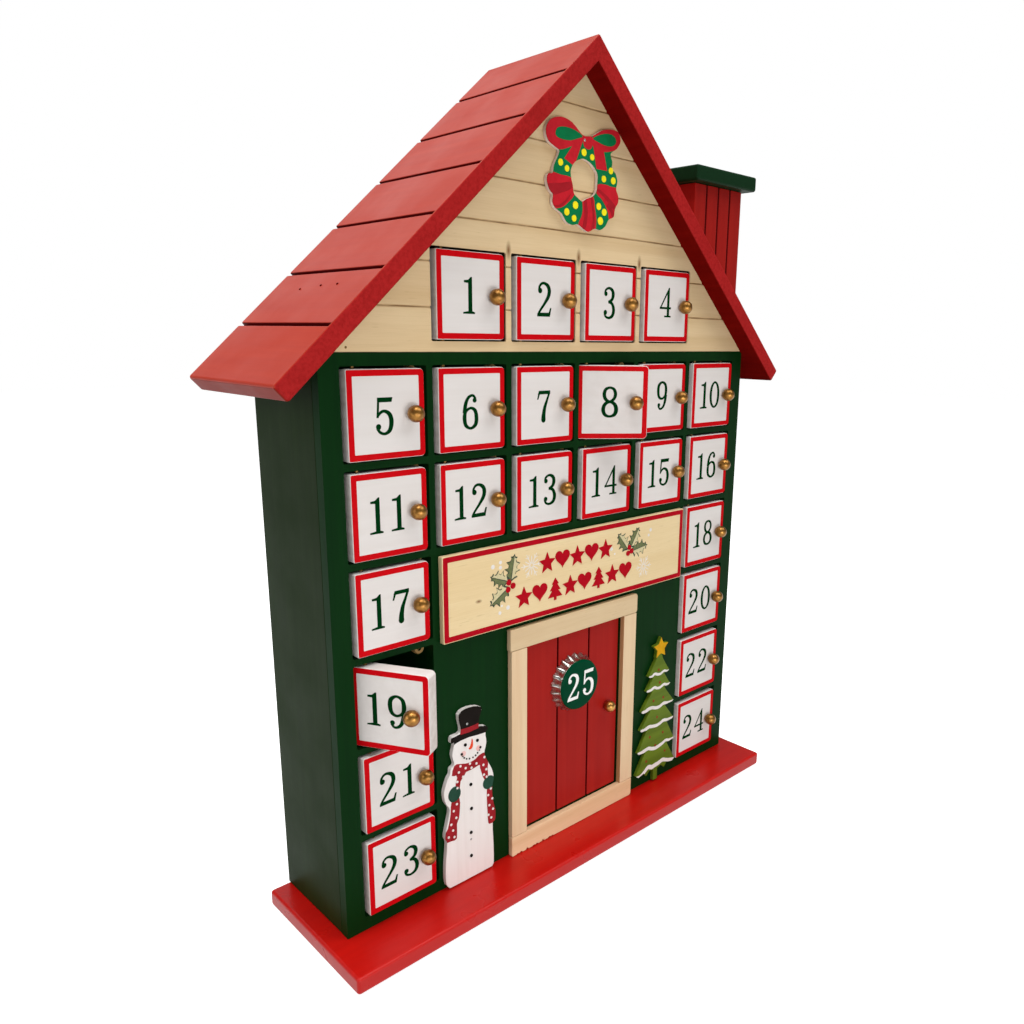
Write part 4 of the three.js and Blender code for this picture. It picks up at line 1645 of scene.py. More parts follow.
@dataclass
class DoorFrame:
    """Four flat strips of bare wood round the front door."""

    left: float = -34.7
    right: float = 36.5
    width: float = 10.0
    thick: float = 3.0
    sill: float = 11.0
    head: float = 113.0
    lintel: float = 11.0
    lintel_reach: float = 0.6
    lift: float = 0.2
    arris: float = 0.35
    torn_teeth: int = 34
    torn_start: float = 1.1
    torn_pitch: float = 0.85
    torn_waves: tuple[Point, ...] = ((0.75, 2.4), (0.55, 5.3))

    def torn_edge(self, left: float) -> list[Point]:
        """The sill's lower edge where the saw tore its fibres, from its left end.

        Args:
            left: The sill's left end.

        Returns:
            The torn edge.
        """
        edge = []
        for tooth in range(self.torn_teeth):
            rise = sum(height * math.sin(pace * tooth) for height, pace in self.torn_waves)
            edge.append((left + self.torn_start + self.torn_pitch * tooth, max(0.0, rise)))
        return edge

    def strip(self, name: str, node: str, outline: Points, finish: BareWood) -> Piece:
        """Cut one strip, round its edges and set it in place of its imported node.

        Args:
            name: The strip's name.
            node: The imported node.
            outline: Its outline.
            finish: Its wood.

        Returns:
            The strip.
        """
        strip = Bench.plate(name, outline, WALL_FACE - self.thick, WALL_FACE)
        Bench.ease(strip, self.arris, angle=SMOOTH_BEND)
        return settle_on(strip, HOUSE, finish, node)

    def build(self) -> None:
        """Cut the four strips."""
        left, right = self.left - self.width, self.right + self.width
        top = self.head + self.lintel
        lintel = rounded(
            left - self.lintel_reach, right + self.lintel_reach, self.head, top, (0.5, 1.6, 1.6, 0.5), 4
        )
        self.strip("frame_lintel", "door_lintel", lintel, LINTEL_WOOD)
        for side, x0, x1 in (("left", left, self.left), ("right", self.right, right)):
            jamb = rounded(x0, x1, self.sill + self.lift, self.head - self.lift, (0.2,) * 4, 1)
            strip = self.strip(f"frame_jamb_{side}", f"door_jamb_{side}", jamb, UPRIGHT_WOOD)
            # The right jamb's side that faces the door takes a darker wood, painted shade in the reveal.
            if side == "right":
                Workshop.also(strip, REVEAL_PAINTED_SHADE, lambda normal, middle: normal.x < -0.8)
        sill = rounded(left, right, 0, self.sill, (0.5, 1.4, 0.5, 0.5), 4)
        self.strip("frame_sill", "door_sill", [*sill[:5], *self.torn_edge(left), *sill[5:]], FRAME_WOOD)
        LOG.info("door frame")


# Painted and printed panels


@dataclass(frozen=True)
class Coat:
    """Areas of one colour laid on a panel."""

    finish: PrintedPaint
    areas: tuple[Points, ...] = ()
    strokes: tuple[Stroke, ...] = ()
    dots: Stroke = ()
    clip: bool = True


class PaintedPanel:
    """Lays coats of paint on the face of a sawn panel, each a hair above the one before."""

    lift = 0.05
    sink = 0.12
    reach = 4

    def __init__(self, name: str, outline: Points, face: float, hole: Points = ()) -> None:
        """Cut a stencil of the panel.

        Args:
            name: The name of its paint.
            outline: The panel's outline.
            face: The y of its face.
            hole: The outline of an opening in the panel.
        """
        self.name = name
        self.face = face
        self.layers: list[Piece] = []
        front, back = face - self.reach, face + 1
        self.stencil = Bench.plate("stencil", outline, front, back)
        if hole:
            Bench.fuse(self.stencil, Bench.plate("hole", hole, front - 1, back + 1), "DIFFERENCE")

    def trim(self, obj: Piece) -> Piece:
        """Cut an area of paint off at the panel's edge."""
        return Bench.fuse(obj, Bench.copy(self.stencil, "stencil_copy"), "INTERSECT")

    def lay(self, coat: Coat) -> None:
        """Lay one coat.

        Args:
            coat: The coat.
        """
        level = self.face - self.lift * (len(self.layers) + 1)
        back = self.face + self.sink
        parts = [Bench.plate("area", area, level, back) for area in coat.areas]
        parts += [Bench.ribbon("stroke", swept(stroke, 4), level, back) for stroke in coat.strokes]
        for part in parts[1:]:
            Bench.fuse(parts[0], part)
        parts = parts[:1]
        if coat.clip:
            parts = [self.trim(part) for part in parts]
        parts += [Bench.plate("dot", disc(x, z, radius, 14), level, back) for x, z, radius in coat.dots]
        layer = Bench.join(self.name, parts)
        self.layers.append(Workshop.finish(layer, coat.finish))

    def paint(self, coats: Iterable[Coat]) -> Piece:
        """Lay every coat and join them into one piece.

        Args:
            coats: The coats, from the lowest up.

        Returns:
            The paint.
        """
        for coat in coats:
            self.lay(coat)
        bpy.data.objects.remove(self.stencil)
        return settle_on(Bench.join(self.name, self.layers), HOUSE)


SNOW_WHITE = PaintedWood("snow_white", "efe9e5", "e7dfda", Grain.Z, roughness=0.6, relief=0.04, gloss=0.2)
HAT_BLACK = PrintedPaint("hat_black", "1b1613", "161210", roughness=0.5, gloss=0.03)
SCARF_RED = PrintedPaint("scarf_red", "9c1c24", "84161d")
MITTEN_GREEN = PrintedPaint("mitten_green", "1d4534", "16382a")
CARROT = PrintedPaint("carrot", "e4471f", "cf3818")
BLUSH = PrintedPaint("blush", "efb5ae", "e9c4bf")
SPOT_WHITE = PrintedPaint("spot_white", "ece6e2", "ddd5d0")
FIR_GREEN = PaintedWood("fir_green", "63791c", "526614", Grain.X, roughness=0.5, relief=0.06)
STAR_GOLD = PrintedPaint("star_gold", "dba20c", "c58f0a")
BERRY_BROWN = PrintedPaint("berry_brown", "8a3a1c", "763018")
WREATH_EDGE = PaintedWood("wreath_edge", "f0e0d8", "e2cdc3", Grain.X, roughness=0.6, gloss=0.2)
WREATH_GREEN = PrintedPaint("wreath_green", "067a46", "056c3c", roughness=0.45, gloss=0.08)
RIBBON_RED = PrintedPaint("ribbon_red", "cc1f2c", "b81824", roughness=0.45)
RIBBON_SHADE = PrintedPaint("ribbon_shade", "a01822", "ae1c27", roughness=0.45)
BERRY_YELLOW = PrintedPaint("berry_yellow", "fff022", "f4dc18", roughness=0.45)
HOLLY_LINE = PrintedPaint("holly_line", "39463a", "2f3a30")
HOLLY_PALE = PrintedPaint("holly_pale", "d8cba0", "c6ba8e", mottle=900)
HOLLY_DARK = PrintedPaint("holly_dark", "717851", "59613e", mottle=900)
ENAMEL_GREEN = PrintedPaint("enamel_green", "003f27", "003922", roughness=0.22, relief=0.004, gloss=0.02)
ENAMEL_WHITE = PrintedPaint("enamel_white", "f6f5f2", "efede9", roughness=0.35, relief=0.004)


@dataclass
class Snowman:
    """A cut-out snowman in a top hat and a spotted scarf."""

    x: float = -70.7
    scale: float = 93 / 92.6
    thick: float = 2.3
    arris: float = 0.35
    nails: Stroke = ((-71.8, 0.1, 83.7), (-70.5, 0.0, 21.7))
    outline: tuple[Point, ...] = (
        (-5.9, 89.2), (-0.3, 91.3), (7.4, 89.3), (6.4, 84.6), (5.7, 80.1), (9.6, 78.9), (11.4, 76.9),
        (9.8, 75.1), (10.3, 69.8), (9.0, 64.6), (10.6, 60.3), (13.2, 55.4), (14.6, 50.2), (13.6, 45.0),
        (13.9, 38.0), (15.5, 31.0), (15.2, 26.0), (13.8, 24.6), (14.2, 13.0), (14.3, 3.0), (13.2, 1.0),
        (11.4, 0.6), (-10.8, 0.6), (-13.0, 1.2), (-14.8, 4.0), (-15.0, 13.0), (-13.9, 25.2), (-15.0, 28.6),
        (-13.8, 34.6), (-12.0, 42.4), (-14.3, 47.0), (-15.0, 52.5), (-12.9, 58.4), (-11.3, 60.7),
        (-10.9, 63.4), (-8.8, 65.0), (-9.9, 70.0), (-8.6, 75.9), (-10.4, 76.4), (-9.9, 79.4), (-4.8, 80.4),
    )

    def coats(self) -> list[Coat]:
        """The paint, from the lowest coat up."""
        hat = (
            (-78.7, 94.5), (-61.7, 94.5), (-64.6, 82.0), (-65.2, 80.2), (-62.2, 79.4), (-58.7, 79.4),
            (-58.7, 76.6), (-61.0, 75.7), (-65.2, 75.9), (-70.7, 76.5), (-76.2, 76.3), (-80.2, 75.4),
            (-82.2, 75.9), (-82.2, 79.2), (-79.4, 79.4), (-75.6, 79.8), (-76.0, 82.0),
        )
        band = ((-75.8, 79.3), (-70.4, 79.0), (-65.1, 79.4), (-64.9, 82.0), (-70.4, 81.7), (-76.0, 82.0))
        collar = (
            (-81.2, 60.0), (-79.6, 64.7), (-76.7, 64.6), (-73.2, 63.5), (-70.2, 63.2), (-67.2, 63.7),
            (-65.0, 64.9), (-61.0, 65.2), (-60.0, 61.0), (-59.6, 58.2), (-64.1, 58.6), (-64.8, 59.8),
            (-68.2, 59.3), (-72.2, 59.0), (-77.7, 59.4),
        )
        tails = (
            (
                (-78.6, 60.2), (-72.8, 60.2), (-73.8, 57.8), (-76.2, 55.3), (-77.0, 51.0), (-79.2, 51.0),
                (-79.0, 55.3), (-78.1, 57.9),
            ),
            (
                (-81.6, 47.0), (-77.1, 47.0), (-76.9, 41.0), (-77.6, 36.0), (-78.8, 33.5), (-79.0, 26.0),
                (-82.2, 25.8), (-86.7, 26.5), (-87.2, 29.5), (-84.2, 33.0), (-82.4, 40.0),
            ),
            ((-64.5, 60.5), (-59.6, 60.5), (-59.8, 56.0), (-59.6, 50.8), (-61.8, 50.8), (-63.5, 55.0)),
            (
                (-60.1, 47.0), (-56.9, 47.0), (-56.1, 40.0), (-54.2, 34.0), (-54.2, 28.0), (-55.6, 25.4),
                (-58.2, 25.2), (-59.7, 26.2), (-60.1, 33.0), (-60.4, 38.0),
            ),
        )
        mittens = tuple(
            tuple(
                (x + a * math.cos(t), z + b * math.sin(t))
                for t in (math.pi * step / 12 for step in range(24))
            )
            for x, z, a, b in ((-79.9, 49.9, 3.6, 3.95), (-59.1, 48.3, 3.7, 3.5))
        )
        carrot = (
            (-69.1, 75.2), (-68.7, 74.0), (-68.6, 72.4), (-68.8, 71.0), (-69.5, 70.1), (-70.5, 70.0),
            (-71.1, 70.5), (-70.4, 71.3), (-69.8, 72.4), (-69.4, 73.8),
        )
        smile = (
            (-75.3, 69.2, 0.65), (-64.2, 69.0, 0.65), (-74.7, 67.9, 0.35), (-73.9, 66.8, 0.4),
            (-72.5, 65.8, 0.4), (-70.8, 65.3, 0.42), (-68.7, 65.2, 0.4), (-67.1, 65.7, 0.42),
            (-65.9, 66.6, 0.4), (-64.8, 67.7, 0.35),
        )
        spots = (
            (-76.2, 63.3), (-70.6, 62.6), (-61.8, 62.9), (-77.2, 60.4), (-73.2, 61.2), (-66.7, 61.3),
            (-69.7, 60.1), (-62.5, 59.0), (-78.2, 55.8), (-74.8, 57.2), (-60.7, 56.0), (-62.2, 53.6),
            (-78.2, 52.6), (-60.5, 51.9), (-78.7, 44.3), (-80.6, 41.3), (-79.2, 37.2), (-82.2, 34.7),
            (-81.2, 31.2), (-83.8, 28.6), (-80.5, 27.4), (-58.0, 44.5), (-59.7, 41.5), (-57.1, 38.7),
            (-59.0, 35.7), (-56.7, 32.8), (-59.6, 30.6), (-57.9, 28.4),
        )
        buttons = tuple((x, z, 0.85) for x, z in ((-70.2, 51.4), (-70.0, 38.4), (-70.4, 25.5), (-70.5, 12.7)))
        eyes = ((-73.1, 73.3, 0.8), (-65.9, 73.2, 0.8))
        return [
            Coat(HAT_BLACK, (hat,)),
            Coat(SCARF_RED, (band, smooth(collar, 2), *(smooth(tail, 2) for tail in tails))),
            Coat(BLUSH, dots=((-74.2, 69.0, 1.4), (-65.3, 68.9, 1.4))),
            Coat(MITTEN_GREEN, mittens),
            Coat(CARROT, (smooth(carrot, 2),)),
            Coat(SPOT_WHITE, dots=tuple((x, z, 0.62) for x, z in spots)),
            Coat(HAT_BLACK, dots=(*smile, *buttons, *eyes)),
        ]

    def build(self) -> None:
        """Saw the figure and paint it."""
        outline = [(self.x + x * self.scale, z * self.scale) for x, z in smooth(self.outline, 3)]
        face = WALL_FACE - self.thick
        figure = Bench.plate("snowman_board", outline, face, WALL_FACE)
        Bench.ease(figure, self.arris, angle=SAWN_BEND)
        settle_on(figure, HOUSE, SNOW_WHITE, "snowman")
        PaintedPanel("snowman_paint", outline, face).paint(self.coats())
        brads = [brad("snowman_brads", x, face - proud, z) for x, proud, z in self.nails]
        settle_on(Bench.join("snowman_brads", brads), HOUSE, STEEL)
        LOG.info("snowman")


@dataclass
class FirTree:
    """A cut-out fir in five tiers with snow on its boughs and a gold star."""

    x: float = 69.3
    scale: float = 93.8 / 93.0
    thick: float = 2.3
    arris: float = 0.3
    trunk: float = 1.9
    tiers: tuple[tuple[float, float, float, float], ...] = (
        (9.4, 69.6, 4.9, 68.2),
        (10.6, 60.6, 5.4, 59.3),
        (14.5, 48.6, 6.6, 47.5),
        (15.1, 37.2, 9.0, 36.0),
        (16.8, 23.4, 9.8, 21.8),
    )
    star_centre: Point = (0.8, 85.0)
    star_radius: float = 6.9
    star_edge: float = 0.35

    def side(self) -> list[Point]:
        """The right edge from under the star to the foot."""
        side = [(1.4, 82.9), (3.2, 78.0)]
        for tip, z, waist, waist_z in self.tiers:
            side += [(tip - 1.6, z + 1.8), (tip, z), (tip - 1.2, z - 0.9), (waist, waist_z)]
        side += [(16.2, 11.4), (17.6, 9.0), (15.4, 7.4), (10.5, 8.6), (8.2, 5.8), (5.4, 8.4)]
        return side + [(self.trunk, 7.6), (self.trunk, 0.8)]

    def sized(self, points: Points) -> list[Point]:
        """Set an outline to the figure's size and place."""
        return [(self.x + x * self.scale, z * self.scale) for x, z in points]

    def outlines(self) -> tuple[list[Point], list[Point]]:
        """The boughs' and the star's outlines."""
        side = self.side()
        boughs = self.sized([*side, *((-x, z) for x, z in reversed(side))])
        return boughs, self.sized(star(*self.star_centre, self.star_radius))

    def coats(self, gold: Points) -> list[Coat]:
        """The paint, from the lowest coat up.

        Args:
            gold: The star's outline.

        Returns:
            The coats.
        """
        snow = (
            (
                (60.3, 70.0, 0.5), (62.9, 69.6, 0.75), (65.3, 70.6, 0.8), (68.1, 69.6, 0.8),
                (70.7, 69.3, 0.8), (73.9, 70.3, 0.7), (76.1, 69.6, 0.6), (79.1, 69.5, 0.4),
            ),
            (
                (58.7, 61.3, 0.6), (62.5, 61.2, 0.85), (65.5, 62.0, 0.85), (67.9, 60.9, 0.8),
                (70.7, 60.6, 0.8), (74.2, 61.6, 0.8), (76.7, 60.8, 0.7), (80.3, 60.6, 0.6),
            ),
            (
                (54.5, 49.5, 0.6), (57.7, 48.9, 1.1), (61.2, 49.7, 1.1), (64.2, 49.5, 1.0), (67.2, 48.5, 1.0),
                (70.7, 48.2, 1.0), (74.5, 49.2, 1.0), (77.7, 48.6, 0.9), (80.7, 48.2, 0.9), (84.3, 48.2, 0.8),
            ),
            (
                (53.9, 37.8, 0.6), (57.7, 37.1, 1.1), (61.7, 37.9, 1.1), (64.7, 37.3, 1.0), (68.7, 36.7, 1.0),
                (71.7, 37.0, 1.0), (75.2, 37.9, 1.0), (78.7, 37.2, 0.9), (81.7, 37.1, 0.9), (84.9, 37.1, 0.7),
            ),
            (
                (52.3, 23.6, 0.6), (55.7, 23.1, 1.1), (59.2, 23.6, 1.1), (62.2, 23.8, 1.1), (65.2, 22.6, 1.1),
                (68.7, 21.9, 1.1), (72.2, 22.3, 1.1), (75.2, 22.9, 1.0), (78.2, 23.8, 0.9), (81.2, 23.0, 0.8),
                (86.3, 22.8, 0.8),
            ),
            (
                (51.1, 8.4, 0.7), (53.7, 7.5, 1.2), (57.2, 8.1, 1.3), (60.2, 10.1, 1.2), (62.7, 11.4, 1.3),
                (65.7, 10.2, 1.4), (68.7, 10.5, 1.4), (71.7, 10.7, 1.3), (75.7, 11.5, 1.3), (78.7, 10.5, 1.1),
                (81.7, 9.4, 1.1), (87.1, 8.3, 0.9),
            ),
        )
        berries = (
            (68.8, 72.3), (70.3, 63.9), (65.1, 53.6), (74.1, 53.3), (69.0, 42.0), (62.9, 30.9), (75.0, 30.2),
            (68.3, 23.8), (60.5, 15.9), (77.6, 17.1),
        )
        return [
            Coat(SPOT_WHITE, strokes=snow),
            Coat(BERRY_BROWN, dots=tuple((x, z, 0.85) for x, z in berries)),
            Coat(STAR_GOLD, (gold,), clip=False),
        ]

    def build(self) -> None:
        """Saw the figure and paint it."""
        face = WALL_FACE - self.thick
        boughs, gold = self.outlines()
        figure = Bench.plate("fir_board", boughs, face, WALL_FACE)
        Bench.fuse(figure, Bench.plate("fir_star", gold, face, WALL_FACE))
        Bench.ease(figure, self.arris, angle=SAWN_BEND)
        settle_on(figure, HOUSE, FIR_GREEN, "tree")
        painted = self.sized(star(*self.star_centre, self.star_radius - self.star_edge))
        PaintedPanel("fir_paint", boughs, face).paint(self.coats(painted))
        LOG.info("fir tree")


@dataclass
class Wreath:
    """A cut-out wreath, wrapped in ribbon, with a bow and yellow berries."""

    x: float = 0.5
    z: float = 333.4
    scale: float = 47 / 47.2
    thick: float = 2.0
    arris: float = 0.3
    nail_height: float = 351.1
    hole: tuple[Point, ...] = (
        (-8.0, 337.5), (-5.5, 341.0), (-1.5, 342.8), (1.0, 343.0), (4.5, 342.0), (7.5, 340.0), (9.5, 337.5),
        (9.5, 334.0), (9.0, 330.0), (6.5, 327.5), (2.5, 326.0), (-0.5, 324.5), (-3.5, 325.8), (-6.0, 327.5),
        (-6.8, 331.0), (-7.8, 334.0),
    )
    outline: tuple[Point, ...] = (
        (-1.5, 19.8), (-8.0, 24.0), (-15.0, 25.2), (-21.5, 23.0), (-24.2, 18.5), (-22.6, 14.2), (-18.0, 12.1),
        (-15.8, 10.6), (-19.0, 4.5), (-19.8, 1.2), (-22.6, 0.4), (-23.4, -2.4), (-21.9, -6.0), (-19.6, -8.0),
        (-19.9, -11.2), (-18.0, -13.6), (-13.8, -15.6), (-10.8, -19.0), (-7.0, -19.9), (-3.6, -19.3),
        (0.2, -21.0), (3.6, -22.0), (7.6, -20.2), (11.4, -20.5), (15.0, -18.4), (17.2, -15.2), (20.6, -13.6),
        (21.4, -9.8), (23.5, -6.9), (23.5, -3.8), (21.9, -0.9), (22.7, 2.6), (21.3, 6.2), (18.7, 7.9),
        (18.9, 11.0), (17.6, 14.6), (21.6, 17.2), (24.2, 21.0), (22.6, 24.6), (18.6, 25.2), (12.0, 24.0),
        (6.4, 21.0), (3.4, 20.0),
    )

    def curved(self, outlines: Sequence[Points]) -> tuple[Points, ...]:
        """Smooth outlines for the ribbon."""
        return tuple(smooth(outline, 2) for outline in outlines)

    def coats(self, field_outline: Points) -> list[Coat]:
        """The paint, from the lowest coat up.

        Args:
            field_outline: The green ground's outline.

        Returns:
            The coats.
        """
        loops = (
            (
                (-0.3, 354.0), (-4.0, 355.9), (-9.0, 357.9), (-14.6, 359.2), (-20.5, 358.6), (-25.0, 355.6),
                (-25.5, 351.2), (-24.0, 347.4), (-20.3, 345.2), (-15.3, 344.8), (-10.9, 346.0), (-7.1, 347.6),
                (-1.2, 349.3),
            ),
            (
                (5.9, 354.0), (9.1, 356.2), (14.1, 358.4), (19.8, 359.6), (24.5, 358.8), (26.9, 355.3),
                (25.1, 351.4), (19.8, 349.4), (14.8, 348.1), (9.8, 348.1), (6.0, 349.3),
            ),
        )
        tails = (
            ((-7.1, 347.8), (-12.3, 341.6), (-6.8, 339.4), (-4.9, 341.2), (-1.2, 349.6)),
            ((6.1, 350.0), (7.5, 344.0), (8.5, 339.9), (15.8, 339.9), (13.2, 348.4)),
        )
        wraps = (
            (
                (-25.0, 334.8), (-14.5, 334.4), (-8.5, 334.2), (-5.5, 332.0), (-5.5, 327.0), (-9.0, 323.5),
                (-12.5, 321.0), (-16.0, 319.9), (-21.5, 319.9), (-25.0, 326.0),
            ),
            (
                (-0.5, 326.5), (1.5, 326.5), (6.8, 327.5), (7.9, 323.0), (9.1, 318.0), (8.9, 314.0),
                (8.3, 310.0), (0.5, 310.0), (-3.1, 313.6), (-1.0, 317.5), (-0.1, 321.0),
            ),
            (
                (9.0, 333.0), (14.5, 333.8), (18.5, 333.3), (26.0, 332.4), (26.0, 325.0), (23.0, 319.0),
                (18.3, 317.5), (17.1, 321.0), (15.0, 324.5), (12.0, 327.3), (9.0, 329.0),
            ),
        )
        knot = (
            (-0.5, 353.2), (1.0, 354.3), (2.5, 353.6), (4.5, 353.7), (6.0, 352.2), (5.9, 350.0), (4.5, 348.0),
            (2.5, 347.5), (0.2, 348.4), (-0.5, 350.8),
        )
        inner = (
            (
                (-17.9, 351.5), (-16.5, 353.8), (-11.5, 354.8), (-5.5, 354.3), (-0.8, 352.6), (-3.5, 351.3),
                (-8.5, 349.6), (-13.5, 349.3), (-17.1, 349.9),
            ),
            (
                (5.8, 352.6), (9.0, 354.4), (13.5, 355.9), (18.5, 356.3), (21.2, 354.8), (21.1, 352.6),
                (18.0, 351.0), (13.5, 350.9), (9.5, 351.6),
            ),
        )
        folds = (
            (
                (-22.0, 329.8), (-14.5, 330.8), (-7.9, 332.2), (-6.5, 330.4), (-9.5, 328.3), (-14.5, 326.6),
                (-19.0, 325.2), (-22.1, 326.8),
            ),
            (
                (0.7, 326.5), (2.1, 326.5), (3.2, 321.0), (2.9, 316.5), (1.7, 312.6), (-0.3, 313.2),
                (1.1, 318.0),
            ),
            (
                (9.7, 331.6), (14.5, 329.6), (18.9, 327.2), (22.9, 324.2), (22.1, 322.4), (17.5, 325.4),
                (13.5, 328.4), (9.7, 330.2),
            ),
            (
                (-20.1, 320.6), (-15.5, 321.4), (-11.3, 324.0), (-8.1, 327.0), (-8.9, 325.2), (-12.5, 321.6),
                (-16.0, 320.3),
            ),
            (
                (5.1, 326.5), (6.1, 322.0), (6.7, 317.0), (5.7, 312.4), (7.3, 312.4), (8.1, 317.0),
                (7.3, 322.0), (6.4, 326.5),
            ),
            ((15.9, 324.6), (18.9, 321.6), (20.3, 318.8), (21.7, 319.6), (20.7, 322.4), (18.1, 325.2)),
        )
        berries = (
            (0.1, 345.8, 1.6), (5.5, 344.5, 1.4), (-14.6, 339.6, 1.5), (-10.6, 337.5, 1.4),
            (18.3, 340.3, 1.5), (13.6, 336.1, 1.5), (20.1, 336.1, 1.6), (-4.9, 322.4, 1.7),
            (-10.4, 318.9, 1.6), (-5.7, 316.6, 1.5), (10.5, 323.5, 1.6), (14.3, 321.3, 1.6),
            (11.8, 317.1, 1.8),
        )
        return [
            Coat(WREATH_GREEN, (field_outline,)),
            Coat(RIBBON_RED, (*self.curved(loops), *tails, *self.curved((*wraps, knot)))),
            Coat(RIBBON_SHADE, self.curved(folds)),
            Coat(WREATH_GREEN, self.curved(inner)),
            Coat(BERRY_YELLOW, dots=berries),
        ]

    def build(self) -> None:
        """Saw the figure and paint it."""
        face = WALL_FACE - self.thick
        outline = [(self.x + x * self.scale, self.z + z * self.scale) for x, z in smooth(self.outline, 3)]
        opening = smooth(self.hole, 3)
        figure = Bench.plate("wreath_board", outline, face, WALL_FACE)
        Bench.fuse(figure, Bench.plate("opening", opening, face - 2, WALL_FACE + 2), "DIFFERENCE")
        Bench.ease(figure, self.arris, angle=SAWN_BEND)
        settle_on(figure, HOUSE, WREATH_EDGE, "wreath")
        PaintedPanel("wreath_paint", outline, face, opening).paint(self.coats(outline))
        settle_on(brad("wreath_brad", self.x, face - 0.2, self.nail_height), HOUSE, STEEL)
        LOG.info("wreath")


# Sign


def holly_leaf(x: float, z: float, length: float, turn: float) -> list[Point]:
    """A spined leaf that points away from its stalk.

    Args:
        x: The stalk's x.
        z: The stalk's height.
        length: The leaf's length.
        turn: Its direction in degrees, from the right, anticlockwise.

    Returns:
        The leaf's outline.
    """
    edge = (
        (0.0, 0.03), (0.1, 0.15), (0.17, 0.3), (0.24, 0.17), (0.34, 0.2), (0.42, 0.38), (0.48, 0.2),
        (0.58, 0.2), (0.68, 0.33), (0.73, 0.15), (0.82, 0.11), (0.89, 0.16), (0.91, 0.05),
    )
    leaf = [*edge, (1.0, 0.0), *((along_leaf, -across) for along_leaf, across in reversed(edge))]
    return moved(leaf, x, z, length, turn)


def snowflake(x: float, z: float, radius: float, pen: float) -> list[Stroke]:
    """The pen strokes of a snowflake with twelve rays.

    Args:
        x: Its x.
        z: Its height.
        radius: The length of its longer rays.
        pen: The pen's half width.

    Returns:
        The strokes.
    """
    strokes = []
    for ray in range(12):
        turn = math.pi * ray / 6
        reach = radius if ray % 2 == 0 else radius * 0.72
        way = (math.cos(turn), math.sin(turn))
        root, end = ((x + far * way[0], z + far * way[1]) for far in (0.9, reach))
        strokes.append(((*root, pen), (*end, pen * 0.7)))
        if ray % 2 == 0:
            fork = (x + 0.6 * radius * way[0], z + 0.6 * radius * way[1])
            for side in (-0.7, 0.7):
                branch = (math.cos(turn + side), math.sin(turn + side))
                tip = (fork[0] + 0.3 * radius * branch[0], fork[1] + 0.3 * radius * branch[1])
                strokes.append(((*fork, pen * 0.8), (*tip, pen * 0.6)))
    return strokes


def heart(x: float, z: float, size: float) -> list[Point]:
    """A heart's outline."""
    points = []
    for step in range(28):
        t = 2 * math.pi * step / 28
        across = 16 * math.sin(t) ** 3
        up = 13 * math.cos(t) - 5 * math.cos(2 * t) - 2 * math.cos(3 * t) - math.cos(4 * t)
        points.append((x + size * across / 34, z + size * (up + 2.5) / 34))
    return points


def little_fir(x: float, z: float, size: float) -> list[Point]:
    """A small fir's outline, in three tiers."""
    side = (
        (0.0, 0.5), (0.2, 0.22), (0.11, 0.22), (0.31, -0.06), (0.17, -0.06), (0.42, -0.36), (0.07, -0.36),
        (0.07, -0.5),
    )
    return moved([*side, *((-px, pz) for px, pz in reversed(side[1:]))], x, z, size)


